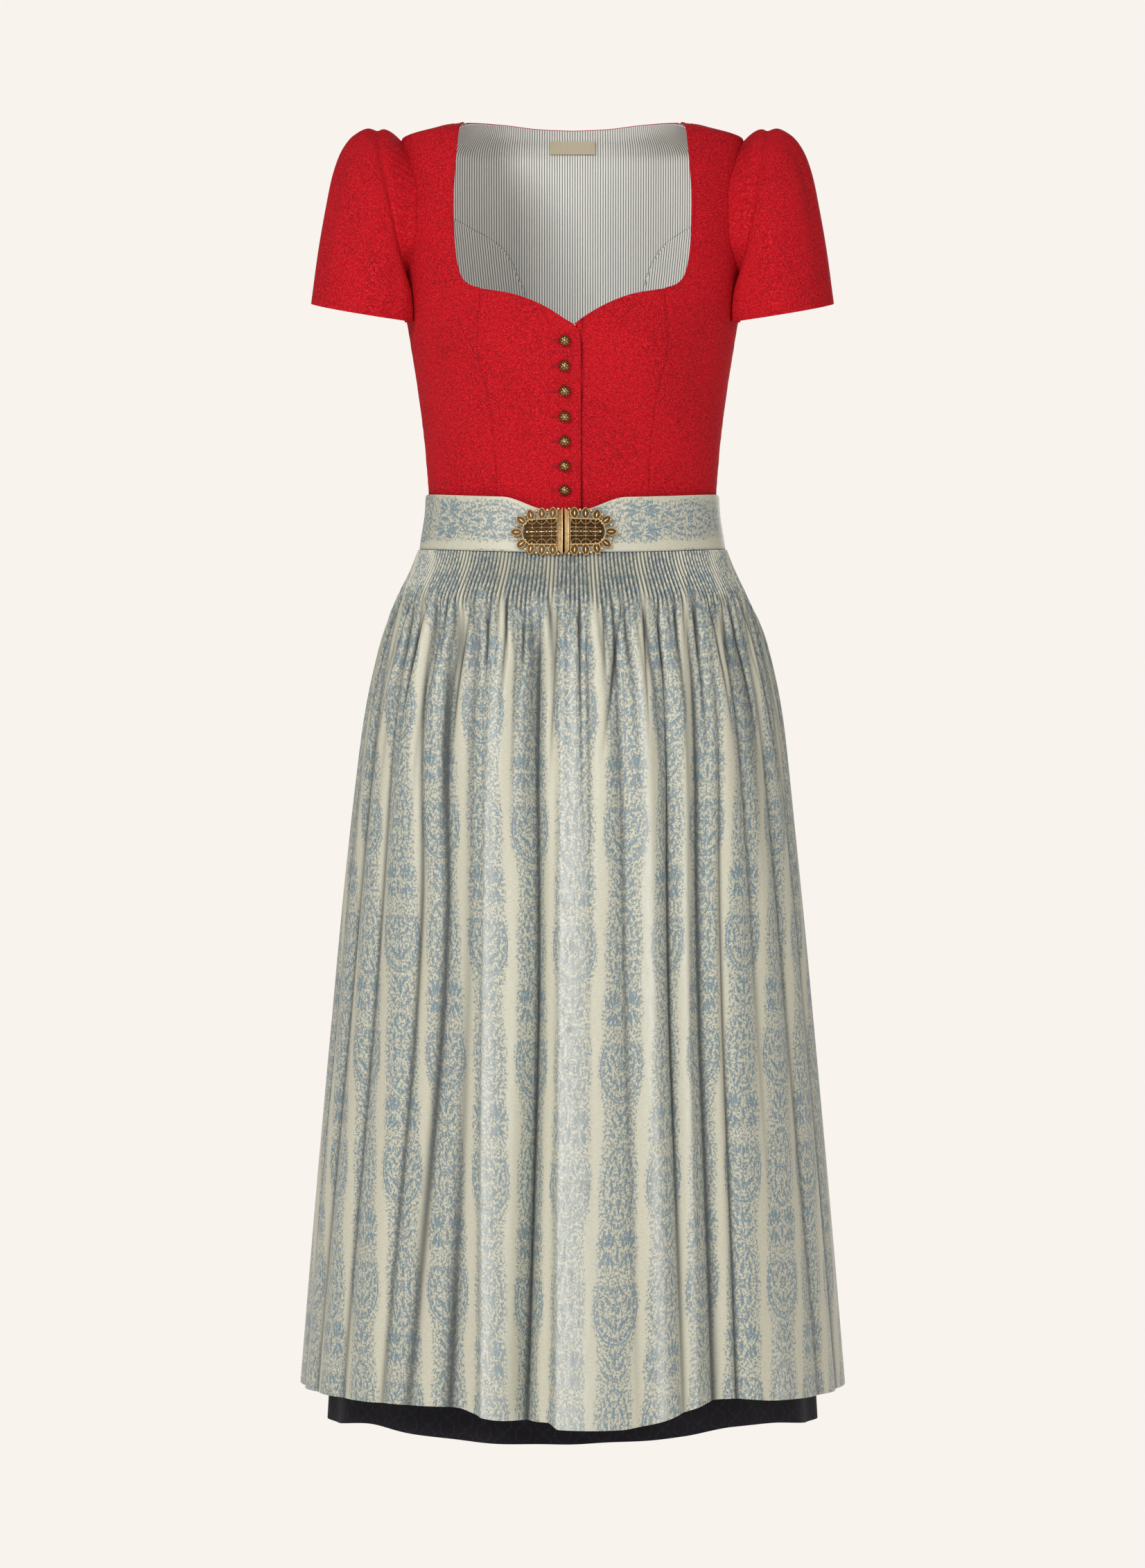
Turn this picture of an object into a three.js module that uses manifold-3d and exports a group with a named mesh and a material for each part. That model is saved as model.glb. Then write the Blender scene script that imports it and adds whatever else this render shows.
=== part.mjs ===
// A dirndl worn by nobody: a red bodice with short gathered sleeves, a dark gathered skirt, and a
// pale brocade apron whose band closes at the front with a filigree buckle.
// Millimetres. +Z is up, the front faces -Y, and the viewer's right is +X. The origin lies midway
// between the two shoulder seams at the neck, where the wearer's shoulders carry the dress.
// Cloth is laid on rings round the body. An angle on a ring is counted in degrees from the middle
// of the front: 90 is the viewer's right side, -90 the left side and 180 the middle of the back.
import * as THREE from "three";
import { mergeVertices } from "three/addons/utils/BufferGeometryUtils.js";
import Module from "manifold-3d";

const BODICE_WALL = 1.2;
const LINING_WALL = 1.0;
const SLEEVE_WALL = 1.2;
const SKIRT_WALL = 1.0;
const APRON_WALL = 1.0;
const BAND_WALL = 1.4;
const SEAM_GAP = 0.3;

const SHOULDER_TIP = -18;
const WAIST_HEIGHT = -350;
const WAIST_DIP = 6;
const PLEATS = 90;
const FOLD_COLUMNS = 86;
const PLEAT_DEPTH = 1.1;
const APRON_EDGE_ANGLE = 113;
const SKIRT_BACK_FOLDS = 22;

const BUTTON_COUNT = 7;
const BUTTON_RADIUS = 4.8;
const BUTTON_TOP = -204;
const BUTTON_PITCH = 20.4;
const BUTTON_LINE = -6.4;
const BUTTON_GAP = 0.5;
const FRONT_EDGE = 7;
const UNDERLAP_EDGE = -18;
const OVERLAP_LIFT = 1.9;
// Where the wearer's right front starts to rise over the left one, and where it lies fully on it.
const OVERLAP_RISE = { from: -46, to: -24 };

const BAND_TOP = { side: -324, dip: 9 };
const BAND_BOTTOM = { side: -371, dip: 8.5 };
const BAND_GAP = 3.2;
const BAND_DROP = 11;
const BAND_CREASE = 0.8;
// How far from the middle of the buckle the band is fully gathered, and where that ends.
const BAND_GATHERS = { full: 12, end: 54 };

const BUCKLE_MIDDLE = { x: -7.3, height: -362 };
const BUCKLE_TILTS = { right: 6.0, left: 2.8 };
const BUCKLE_THICK = 1.2;
const BUCKLE_LIFT = 3.1;
const BUCKLE_LEAN = 9;

// Half widths and depths of the body that the bodice is cut for.
const TORSO = [
  { height: 14, side: 80, front: 30, back: 72, square: 2.2 },
  { height: 0, side: 93, front: 40, back: 82, square: 2.2 },
  { height: -9, side: 121, front: 54, back: 88, square: 2.3 },
  { height: -18, side: 147, front: 64, back: 92, square: 2.4 },
  { height: -50, side: 150.5, front: 84, back: 98, square: 2.5 },
  { height: -100, side: 149.5, front: 101, back: 102, square: 2.5 },
  { height: -150, side: 145.5, front: 111, back: 102, square: 2.4 },
  { height: -194, side: 138.6, front: 115, back: 98, square: 2.3 },
  { height: -242, side: 131.1, front: 109, back: 93, square: 2.3 },
  { height: -290, side: 125.6, front: 98, back: 88, square: 2.3 },
  { height: -335, side: 122.8, front: 91.5, back: 86, square: 2.3 },
  { height: -360, side: 123.5, front: 91, back: 88, square: 2.3 },
];

// The inner face of the apron's band.
const BAND = [
  { height: -320, side: 125.4, front: 97.5, back: 89.8, square: 2.3 },
  { height: -338, side: 126.2, front: 98, back: 90.8, square: 2.3 },
  { height: -360, side: 129.4, front: 100, back: 95.5, square: 2.3 },
  { height: -384, side: 133.2, front: 104.5, back: 101.5, square: 2.25 },
];

// The inner face of the dark skirt, without its gathers.
const SKIRT = [
  { height: -348, side: 124.3, front: 92.5, back: 87.5, square: 2.3 },
  { height: -372, side: 129.0, front: 98, back: 93, square: 2.25 },
  { height: -392, side: 135.5, front: 103, back: 102, square: 2.2 },
  { height: -420, side: 146, front: 109, back: 116, square: 2.15 },
  { height: -460, side: 156, front: 114, back: 130, square: 2.1 },
  { height: -520, side: 167, front: 119, back: 145, square: 2.05 },
  { height: -600, side: 177, front: 123, back: 157, square: 2.0 },
  { height: -850, side: 194, front: 130, back: 181, square: 1.95 },
  { height: -1125, side: 209.5, front: 138, back: 202, square: 1.9 },
];

// The apron's outer face, without its pleats and folds.
const APRON = [
  { height: -368, side: 131.4, front: 102.5, back: 97, square: 2.25 },
  { height: -386, side: 138.4, front: 106.5, back: 104, square: 2.2 },
  { height: -410, side: 149.6, front: 116.5, back: 119, square: 2.2 },
  { height: -434, side: 159.6, front: 125, back: 132, square: 2.15 },
  { height: -458, side: 167.5, front: 131, back: 142, square: 2.1 },
  { height: -506, side: 178.4, front: 140, back: 155, square: 2.1 },
  { height: -554, side: 185.5, front: 147, back: 164, square: 2.1 },
  { height: -650, side: 196.4, front: 158, back: 176, square: 2.05 },
  { height: -794, side: 210, front: 171, back: 190, square: 2.0 },
  { height: -938, side: 223, front: 183, back: 203, square: 2.0 },
  { height: -1100, side: 236.5, front: 196, back: 216, square: 2.0 },
];

// Folds of the apron. The angles are the crest's or valley's at the pleats, half way down and at
// the hem, the depths are at the same places, positive outwards, and the two widths are the
// degrees over which the fold dies away to its left and right.
const FOLDS = [
  { pleats: -101, middle: -102, hem: -104, upper: -3, mid: -6, low: -8, left: 5, right: 5 },
  { pleats: -80, middle: -80, hem: -82, upper: -3, mid: -4, low: -5, left: 4, right: 5 },
  { pleats: -69, middle: -68, hem: -69, upper: -4, mid: -6, low: -5, left: 4, right: 4 },
  { pleats: -57, middle: -55, hem: -56, upper: -4, mid: -6, low: -5, left: 3, right: 4 },
  { pleats: -46, middle: -40, hem: -43, upper: -5, mid: -7, low: -5, left: 2.5, right: 4 },
  { pleats: -37, middle: -32, hem: -36, upper: -5, mid: -8, low: -6, left: 5, right: 5 },
  { pleats: -27, middle: -25, hem: -26, upper: -4, mid: -3, low: -9, left: 6, right: 5 },
  { pleats: -21, middle: -20.5, hem: -17.5, upper: 2, mid: 4, low: 10, left: 1.2, right: 5 },
  { pleats: -15, middle: -14, hem: -13, upper: -4, mid: 1, low: 2, left: 2, right: 2 },
  { pleats: -8.5, middle: -8, hem: -9.5, upper: -7, mid: -14, low: -18, left: 3, right: 1.8 },
  { pleats: -2, middle: -2.5, hem: -2.8, upper: 3, mid: 6, low: 13, left: 1.2, right: 12 },
  { pleats: 3.5, middle: 4, hem: 4, upper: -5, mid: -2, low: 0, left: 2, right: 2 },
  { pleats: 11, middle: 12, hem: 13, upper: -4, mid: -5, low: -1, left: 2.5, right: 3 },
  { pleats: 17.5, middle: 18, hem: 18, upper: 3, mid: 4, low: 4, left: 3, right: 2.5 },
  { pleats: 25, middle: 23.5, hem: 23, upper: -7, mid: -10, low: -5, left: 1.6, right: 2.4 },
  { pleats: 30, middle: 27.5, hem: 25.5, upper: 2, mid: 3, low: 2, left: 2, right: 1.5 },
  { pleats: 35, middle: 32, hem: 31, upper: -7, mid: -10, low: -13, left: 3.5, right: 4 },
  { pleats: 43, middle: 38.5, hem: 36.5, upper: -3, mid: -6, low: -8, left: 1.6, right: 2 },
  { pleats: 50, middle: 49, hem: 47, upper: -5, mid: -4, low: 2, left: 3, right: 4 },
  { pleats: 62, middle: 62, hem: 63, upper: -4, mid: -5, low: -4, left: 4, right: 4 },
  { pleats: 74, middle: 76, hem: 76, upper: -4, mid: -5, low: -5, left: 4, right: 5 },
  { pleats: 99, middle: 101, hem: 103, upper: -3, mid: -6, low: -8, left: 5, right: 5 },
];

// How far the folds have grown on the way down, as shares of the apron's length.
const FOLD_STARTS = 0.05;
const FOLD_UPPER = 0.13;
const FOLD_MIDDLE = 0.45;

// The height of the apron's hem and of the skirt's hem round the body.
const APRON_HEM = [
  { angle: -115, height: -1088 },
  { angle: -88, height: -1089 },
  { angle: -62, height: -1085.5 },
  { angle: -38, height: -1083 },
  { angle: -24, height: -1081.5 },
  { angle: -18.5, height: -1086.5 },
  { angle: -14, height: -1089 },
  { angle: -5, height: -1090 },
  { angle: -2.5, height: -1094.5 },
  { angle: 9, height: -1096 },
  { angle: 14, height: -1093.5 },
  { angle: 20, height: -1088.5 },
  { angle: 26, height: -1081.5 },
  { angle: 33, height: -1077 },
  { angle: 45, height: -1082 },
  { angle: 62, height: -1086 },
  { angle: 88, height: -1089 },
  { angle: 115, height: -1088 },
];
const SKIRT_HEM = [
  { angle: -180, height: -1116 },
  { angle: -90, height: -1120 },
  { angle: -76, height: -1119.5 },
  { angle: -55, height: -1113 },
  { angle: -40, height: -1116 },
  { angle: -31, height: -1117.5 },
  { angle: -17, height: -1119 },
  { angle: 0, height: -1118 },
  { angle: 27.5, height: -1115 },
  { angle: 40.5, height: -1110 },
  { angle: 55, height: -1112 },
  { angle: 76, height: -1119 },
  { angle: 90, height: -1120 },
  { angle: 180, height: -1116 },
];

// Lines of the cut, seen from the front or the back, for the viewer's right half.
const NECKLINE_SIDE = [
  { x: 77, height: -158.5 },
  { x: 86, height: -155 },
  { x: 92.5, height: -148 },
  { x: 97, height: -132 },
  { x: 99.5, height: -107 },
  { x: 99.8, height: -76 },
  { x: 98, height: -42 },
  { x: 96, height: -15 },
  { x: 93, height: 0 },
];
const NECKLINE_FRONT = [
  { x: 1, height: -190 },
  { x: 6, height: -186.5 },
  { x: 18.3, height: -178.5 },
  { x: 34.7, height: -170 },
  { x: 51, height: -164 },
  { x: 65, height: -161 },
  { x: 77, height: -158.5 },
];
const FRONT_SEAM = [
  { x: 63, height: -356 },
  { x: 65, height: -300 },
  { x: 69, height: -250 },
  { x: 77, height: -205 },
  { x: 77, height: -158.5 },
];
const BACK_NECK = [
  { x: 93, height: 0 },
  { x: 89, height: 0.8 },
  { x: 82, height: 2.2 },
  { x: 70, height: 4.4 },
  { x: 55, height: 5.6 },
  { x: 30, height: 6.2 },
  { x: 0, height: 6.4 },
];
// The wearer's left seam lies a little further out than the right one.
const BACK_SEAMS = {
  right: [
    { x: 38, height: -350 },
    { x: 38, height: -260 },
    { x: 40, height: -190 },
    { x: 43.5, height: -137 },
    { x: 51.5, height: -116 },
    { x: 60, height: -99.5 },
    { x: 72, height: -89 },
    { x: 87.5, height: -81 },
    { x: 102, height: -74 },
    { x: 133, height: -64 },
  ],
  left: [
    { x: 38, height: -350 },
    { x: 43, height: -260 },
    { x: 55, height: -175 },
    { x: 64.5, height: -132 },
    { x: 68, height: -119 },
    { x: 75, height: -103.5 },
    { x: 84.5, height: -92 },
    { x: 104, height: -80 },
    { x: 133, height: -64 },
  ],
};
// From the shoulder down to the underarm.
const ARMHOLE_FRONT = [
  { x: 147, height: -18 },
  { x: 139, height: -42 },
  { x: 132, height: -72 },
  { x: 132, height: -102 },
  { x: 138.5, height: -130 },
  { x: 145.5, height: -150 },
];
const ARMHOLE_BACK = [
  { x: 147, height: -18 },
  { x: 139, height: -42 },
  { x: 133, height: -64 },
  { x: 134, height: -102 },
  { x: 139, height: -130 },
  { x: 145.5, height: -150 },
];

// Sections of a sleeve from the armhole to the cuff: where its top and its underarm lie, seen from
// the front, and how deep it is. The first section is the armhole itself.
const SLEEVE = [
  { share: 0, topX: 149, topHeight: -15, underX: 148, underHeight: -150, depth: 60 },
  { share: 0.05, topX: 156, topHeight: -9.5, underX: 146, underHeight: -152, depth: 63 },
  { share: 0.12, topX: 162, topHeight: -7.6, underX: 143, underHeight: -155, depth: 66 },
  { share: 0.18, topX: 167.5, topHeight: -10, underX: 140, underHeight: -157, depth: 65 },
  { share: 0.26, topX: 176, topHeight: -7.6, underX: 137, underHeight: -160, depth: 68 },
  { share: 0.36, topX: 188.4, topHeight: -13, underX: 133, underHeight: -162, depth: 70 },
  { share: 0.47, topX: 199.4, topHeight: -26.4, underX: 130, underHeight: -165, depth: 71 },
  { share: 0.58, topX: 207.2, topHeight: -48, underX: 128, underHeight: -167, depth: 71 },
  { share: 0.7, topX: 212.4, topHeight: -74, underX: 127, underHeight: -169, depth: 70 },
  { share: 0.85, topX: 219.2, topHeight: -113, underX: 126, underHeight: -171, depth: 67 },
  { share: 1, topX: 225.2, topHeight: -157, underX: 126, underHeight: -173, depth: 64 },
];
// The cuff hangs lower at the front than at the back.
const CUFF_TILT = 10.5;
const SLEEVE_SQUARE = { under: 0.65, front: 0.8 };
const SLEEVE_CLEARANCE = 2.6;
const SLEEVE_SOFTNESS = 2;
// The shares of its length at which a sleeve has left the armhole's shape, and starts to tilt.
const SLEEVE_FREE = 0.16;
const SLEEVE_TILTS = 0.1;

const COLOURS = {
  red: new THREE.MeshStandardMaterial({ color: 0xb5141b, roughness: 0.85 }),
  stripes: new THREE.MeshStandardMaterial({ color: 0xb9bab2, roughness: 0.9 }),
  label: new THREE.MeshStandardMaterial({ color: 0xd9cfae, roughness: 0.8 }),
  dark: new THREE.MeshStandardMaterial({ color: 0x16131a, roughness: 0.8 }),
  brocade: new THREE.MeshStandardMaterial({ color: 0xa9aea0, roughness: 0.55 }),
  brass: new THREE.MeshStandardMaterial({ color: 0x8a6a35, roughness: 0.35, metalness: 1 }),
};

const { abs, cos, exp, hypot, max, min, PI, pow, sign, sin, sqrt } = Math;
const radians = (degrees) => (degrees * PI) / 180;
const mix = (a, b, share) => a + (b - a) * share;
const ramp = (low, high, value) => {
  const share = min(1, max(0, (value - low) / (high - low)));
  return share * share * (3 - 2 * share);
};

// Even shares of a length, or the shares of a list as they are.
const shares = (steps) =>
  Array.isArray(steps) ? steps : Array.from({ length: steps + 1 }, (unused, i) => i / steps);

// A smooth curve through one column of a table, as a function of another: cubic pieces that never
// swing past the rows.
function column(rows, key, name) {
  const sorted = [...rows].sort((a, b) => a[key] - b[key]);
  const xs = sorted.map((row) => row[key]);
  const ys = sorted.map((row) => row[name]);
  const steps = xs.slice(1).map((x, i) => x - xs[i]);
  const slopes = steps.map((step, i) => (ys[i + 1] - ys[i]) / step);
  const tangents = xs.map((x, i) => {
    const before = slopes[i - 1] ?? slopes[i];
    const after = slopes[i] ?? slopes[i - 1];
    return before * after <= 0 ? 0 : (2 * before * after) / (before + after);
  });
  return (x) => {
    if (x <= xs[0]) return ys[0];
    if (x >= xs.at(-1)) return ys.at(-1);
    let i = 0;
    while (x > xs[i + 1]) i += 1;
    const t = (x - xs[i]) / steps[i];
    const rise = ys[i + 1] - ys[i];
    const a = tangents[i] * steps[i];
    const b = tangents[i + 1] * steps[i];
    return ys[i] + t * (a + t * (3 * rise - 2 * a - b + t * (a + b - 2 * rise)));
  };
}

// The rings of a body or a garment, as functions of height.
function rings(table) {
  const side = column(table, "height", "side");
  const front = column(table, "height", "front");
  const back = column(table, "height", "back");
  const square = column(table, "height", "square");
  const at = (angle, height) => {
    const power = 2 / square(height);
    const across = sin(radians(angle));
    const along = cos(radians(angle));
    const depth = along > 0 ? -front(height) : back(height);
    return new THREE.Vector3(
      side(height) * sign(across) * pow(abs(across), power),
      depth * pow(abs(along), power),
      height,
    );
  };
  // The outward direction of the rings' surface.
  const outwards = (angle, height) => {
    const point = at(angle, height);
    const depth = point.y < 0 ? front(height) : back(height);
    const power = square(height) - 1;
    const level = new THREE.Vector3(
      (sign(point.x) * pow(abs(point.x) / side(height), power)) / side(height),
      (sign(point.y) * pow(abs(point.y) / depth, power)) / depth,
      0,
    ).normalize();
    const up = at(angle, height + 1).sub(at(angle, height - 1));
    const around = new THREE.Vector3(-level.y, level.x, 0);
    return around.cross(up).normalize();
  };
  const angleOf = (x, height) => {
    const share = min(1, abs(x) / side(height));
    return (sign(x) * Math.asin(pow(share, square(height) / 2)) * 180) / PI;
  };
  const halfWidthAt = (y, height) => {
    const depth = y < 0 ? front(height) : back(height);
    const rest = 1 - pow(min(1, abs(y) / depth), square(height));
    return side(height) * pow(rest, 1 / square(height));
  };
  return { at, outwards, angleOf, halfWidthAt };
}

const torso = rings(TORSO);
const band = rings(BAND);
const skirt = rings(SKIRT);
const apron = rings(APRON);

// The waist and the band lie lower at the front than at the sides.
const frontShare = (angle) => pow(max(0, cos(radians(angle))), 1.5);
const waistHeight = (angle) => WAIST_HEIGHT - WAIST_DIP * frontShare(angle);
const bandTop = (angle) => BAND_TOP.side - BAND_TOP.dip * frontShare(angle);
const bandBottom = (angle) => BAND_BOTTOM.side - BAND_BOTTOM.dip * frontShare(angle);

// A rounded cup on each side of the front, shaped by the seams of the cut.
const CUP = { x: 60, height: -208, halfWidth: 34, above: 30, below: 44, depth: 8 };
function cup(point) {
  if (point.y > 0) return 0;
  const across = (abs(point.x) - CUP.x) / CUP.halfWidth;
  const along = (point.z - CUP.height) / (point.z > CUP.height ? CUP.above : CUP.below);
  return CUP.depth * exp(-across * across - along * along);
}

function torsoPoint(angle, height, out) {
  const point = torso.at(angle, height);
  return point.addScaledVector(torso.outwards(angle, height), out + cup(point));
}

// A line of the cut, given by its places seen from the front or the back of one half, and run
// evenly by its length on the body from 0 to 1.
const FINE = 60;
function cutLine(rows, hand, behind = false) {
  let run = 0;
  const marked = rows.map((row, i) => {
    if (i > 0) run += hypot(row.x - rows[i - 1].x, row.height - rows[i - 1].height);
    return { ...row, run };
  });
  const xAt = column(marked, "run", "x");
  const heightAt = column(marked, "run", "height");
  const places = shares(FINE).map((share) => {
    const height = heightAt(share * run);
    const turn = torso.angleOf(xAt(share * run), height);
    return { angle: hand * (behind ? 180 - turn : turn), height };
  });
  const lengths = [0];
  for (let i = 1; i <= FINE; i += 1) {
    const step = torso
      .at(places[i].angle, places[i].height)
      .distanceTo(torso.at(places[i - 1].angle, places[i - 1].height));
    lengths.push(lengths[i - 1] + step);
  }
  return (share) => {
    const target = share * lengths[FINE];
    let i = 0;
    while (i < FINE - 1 && lengths[i + 1] < target) i += 1;
    const part = (target - lengths[i]) / (lengths[i + 1] - lengths[i]);
    return {
      angle: mix(places[i].angle, places[i + 1].angle, part),
      height: mix(places[i].height, places[i + 1].height, part),
    };
  };
}
// Several lines one after another, with a corner at each share named.
function joined(corners, lines) {
  const bounds = [0, ...corners, 1];
  return (share) => {
    let i = 0;
    while (i < lines.length - 1 && share > bounds[i + 1]) i += 1;
    return lines[i]((share - bounds[i]) / (bounds[i + 1] - bounds[i]));
  };
}
const backwards = (line) => (share) => line(1 - share);
const backSeam = (hand) => cutLine(hand < 0 ? BACK_SEAMS.right : BACK_SEAMS.left, hand, true);
const shoulderSeam = (hand) => (share) => ({
  angle: hand * 90,
  height: mix(SHOULDER_TIP, 0, share),
});

// A four-sided patch of cloth, filled in from its four edges.
function patch({ bottom, top, left, right }) {
  const corner = { lowLeft: left(0), lowRight: right(0), highLeft: left(1), highRight: right(1) };
  const fill = (name, across, up) =>
    mix(bottom(across)[name], top(across)[name], up) +
    mix(left(up)[name], right(up)[name], across) -
    mix(
      mix(corner.lowLeft[name], corner.lowRight[name], across),
      mix(corner.highLeft[name], corner.highRight[name], across),
      up,
    );
  return (across, up) => ({
    angle: fill("angle", across, up),
    height: fill("height", across, up),
  });
}

// Triangles between two rows of numbered points, each row run from 0 to 1 in its own steps.
function stitch(triangles, low, high) {
  let i = 0;
  let j = 0;
  while (i < low.length - 1 || j < high.length - 1) {
    const nextLow = i < low.length - 1 ? low[i + 1].share : Infinity;
    const nextHigh = j < high.length - 1 ? high[j + 1].share : Infinity;
    if (nextLow <= nextHigh) {
      triangles.push(low[i].number, low[i + 1].number, high[j].number);
      i += 1;
    } else {
      triangles.push(low[i].number, high[j + 1].number, high[j].number);
      j += 1;
    }
  }
}

// A wall of cloth between an outer and an inner face. Each face is a list of rows, from the bottom
// up, and each row a list of { share, point } from the viewer's left to right. A tube's rows run
// all the way round, and its wall has no side edges.
function wall(outer, inner, tube = false) {
  const positions = [];
  const triangles = [];
  const number = (rows) =>
    rows.map((row) => {
      const numbered = row.map(({ share, point }) => {
        positions.push(point.x, point.y, point.z);
        return { share, number: positions.length / 3 - 1 };
      });
      return tube ? [...numbered, { share: 1, number: numbered[0].number }] : numbered;
    });
  const out = number(outer);
  const back = number(inner);
  for (let i = 0; i < out.length - 1; i += 1) stitch(triangles, out[i], out[i + 1]);
  const inside = [];
  for (let i = 0; i < back.length - 1; i += 1) stitch(inside, back[i], back[i + 1]);
  for (let i = 0; i < inside.length; i += 3) {
    triangles.push(inside[i], inside[i + 2], inside[i + 1]);
  }
  stitch(triangles, out.at(-1), back.at(-1));
  stitch(triangles, back[0], out[0]);
  if (!tube) {
    const edge = (rows, end) =>
      rows.map((row, i) => ({ share: i / (rows.length - 1), number: row.at(end).number }));
    stitch(triangles, edge(back, -1), edge(out, -1));
    stitch(triangles, edge(out, 0), edge(back, 0));
  }
  const geometry = new THREE.BufferGeometry();
  geometry.setAttribute("position", new THREE.Float32BufferAttribute(positions, 3));
  geometry.setIndex(triangles);
  geometry.computeVertexNormals();
  return geometry;
}

// The two faces of a sheet whose surface is a function of two shares and a distance outwards.
function sheet(columns, rows, surface, inside, outside) {
  const face = (out) =>
    shares(rows).map((up) =>
      shares(columns).map((across) => ({ share: across, point: surface(across, up, out) })),
    );
  return wall(face(outside), face(inside));
}

const dirndl = new THREE.Group();
function add(name, geometry, material) {
  const mesh = new THREE.Mesh(geometry, material);
  mesh.name = name;
  dirndl.add(mesh);
  return mesh;
}

// Bodice: six panels and the centre back, parted by narrow seams.
function bodicePanel(name, edges, columns, rows, lift = () => 0) {
  const place = patch(edges);
  const surface = (across, up, out) => {
    const { angle, height } = place(across, up);
    return torsoPoint(angle, height, out + lift(torso.at(angle, height).x));
  };
  add(name, sheet(columns, rows, surface, 0, BODICE_WALL), COLOURS.red);
}

// Moves a line of the cut to its right, as one looks along it, by a distance on the body.
const HALF_GAP = SEAM_GAP / 2;
const aside = (line, distance) => (share) => {
  const { angle, height } = line(share);
  const before = line(max(0, share - 0.01));
  const after = line(min(1, share + 0.01));
  const degree = torso.at(angle + 0.5, height).distanceTo(torso.at(angle - 0.5, height));
  const across = (after.angle - before.angle) * degree;
  const rise = after.height - before.height;
  const step = distance / hypot(across, rise);
  return { angle: angle + (step * rise) / degree, height: height - step * across };
};
const level = (from, to) => (share) => {
  const angle = mix(from, to, share);
  return { angle, height: waistHeight(angle) };
};
// Makes an edge meet the edges at its two ends exactly.
function pinEnds(line, start, end) {
  const first = line(0);
  const last = line(1);
  return (share) => {
    const { angle, height } = line(share);
    return {
      angle: angle + mix(start.angle - first.angle, end.angle - last.angle, share),
      height: height + mix(start.height - first.height, end.height - last.height, share),
    };
  };
}
// A panel is drawn for the viewer's right half, and its edges change places on the other half.
const swapEnds = (edges, hand) =>
  hand > 0
    ? edges
    : {
        left: edges.right,
        right: edges.left,
        bottom: backwards(edges.bottom),
        top: backwards(edges.top),
      };

// The rows of a front panel up to the neck's corner, and of a front side panel beyond it.
const FRONT_ROWS = [0, 0.17, 0.34, 0.5, 0.64, 0.76, 0.85, 0.93, 1];
const STRAP_ROWS = [0.05, 0.12, 0.25, 0.4, 0.57, 0.73, 0.86, 0.95, 1];
const BUST_SHARE = 0.54;
const BACK_ROWS = [0, 0.2, 0.4, 0.56, 0.68, 0.77, 0.84, 0.92, 1];
const BACK_CORNERS = [0.76, 0.87];

function frontSide(hand) {
  const seam = cutLine(FRONT_SEAM, hand);
  const sideSeam = (share) => ({ angle: hand * 90, height: mix(WAIST_HEIGHT, -150, share) });
  const inner = joined([BUST_SHARE], [seam, cutLine(NECKLINE_SIDE, hand)]);
  const outer = joined([BUST_SHARE], [sideSeam, backwards(cutLine(ARMHOLE_FRONT, hand))]);
  const left = aside(inner, hand * HALF_GAP);
  const right = aside(outer, -hand * HALF_GAP);
  const bottom = level(left(0).angle, right(0).angle);
  const top = aside(backwards(shoulderSeam(hand)), hand * HALF_GAP);
  const edges = {
    left: pinEnds(left, bottom(0), top(0)),
    right: pinEnds(right, bottom(1), top(1)),
    bottom,
    top,
  };
  const rows = [
    ...FRONT_ROWS.map((share) => share * BUST_SHARE),
    ...STRAP_ROWS.map((share) => mix(BUST_SHARE, 1, share)),
  ];
  bodicePanel(hand < 0 ? "front_side_right" : "front_side_left", swapEnds(edges, hand), 6, rows);
}

// The wearer's right front lies over the left one, and its upper corner is rounded. Places past the
// middle of the front have a negative x, as a line of the cut is given for one half.
const UPPER_FRONT_EDGE = [
  { x: -FRONT_EDGE, height: -356 },
  { x: -FRONT_EDGE, height: -206 },
  { x: -5.6, height: -197 },
  { x: -1, height: -190.6 },
];
const LOWER_FRONT_EDGE = [
  { x: UNDERLAP_EDGE, height: -356 },
  { x: UNDERLAP_EDGE, height: -180.5 },
];
function frontMiddle(hand) {
  const over = hand < 0;
  const edge = over ? UPPER_FRONT_EDGE : LOWER_FRONT_EDGE;
  const opening = cutLine(edge, hand);
  const neckStart = edge.at(-1);
  const neck = cutLine([neckStart, ...NECKLINE_FRONT.slice(over ? 1 : 0)], hand);
  const right = aside(cutLine(FRONT_SEAM, hand), -hand * HALF_GAP);
  const bottom = level(opening(0).angle, right(0).angle);
  const edges = {
    left: pinEnds(opening, bottom(0), neck(0)),
    right: pinEnds(right, bottom(1), right(1)),
    bottom,
    top: pinEnds(neck, neck(0), right(1)),
  };
  const rise = (x) => OVERLAP_LIFT * ramp(OVERLAP_RISE.from, OVERLAP_RISE.to, x);
  const lift = over ? rise : () => 0;
  const name = over ? "front_middle_right" : "front_middle_left";
  bodicePanel(name, swapEnds(edges, hand), 8, FRONT_ROWS, lift);
}

function backSide(hand) {
  const seam = aside(backSeam(hand), -hand * HALF_GAP);
  const sideSeam = (share) => ({ angle: hand * 90, height: mix(WAIST_HEIGHT, -150, share) });
  const left = aside(sideSeam, hand * HALF_GAP);
  const armhole = backwards(cutLine(ARMHOLE_BACK.slice(2), hand, true));
  const bottom = level(left(0).angle, seam(0).angle);
  const edges = {
    left,
    right: pinEnds(seam, bottom(1), seam(1)),
    bottom,
    top: pinEnds(armhole, left(1), seam(1)),
  };
  return swapEnds(edges, hand);
}

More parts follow.
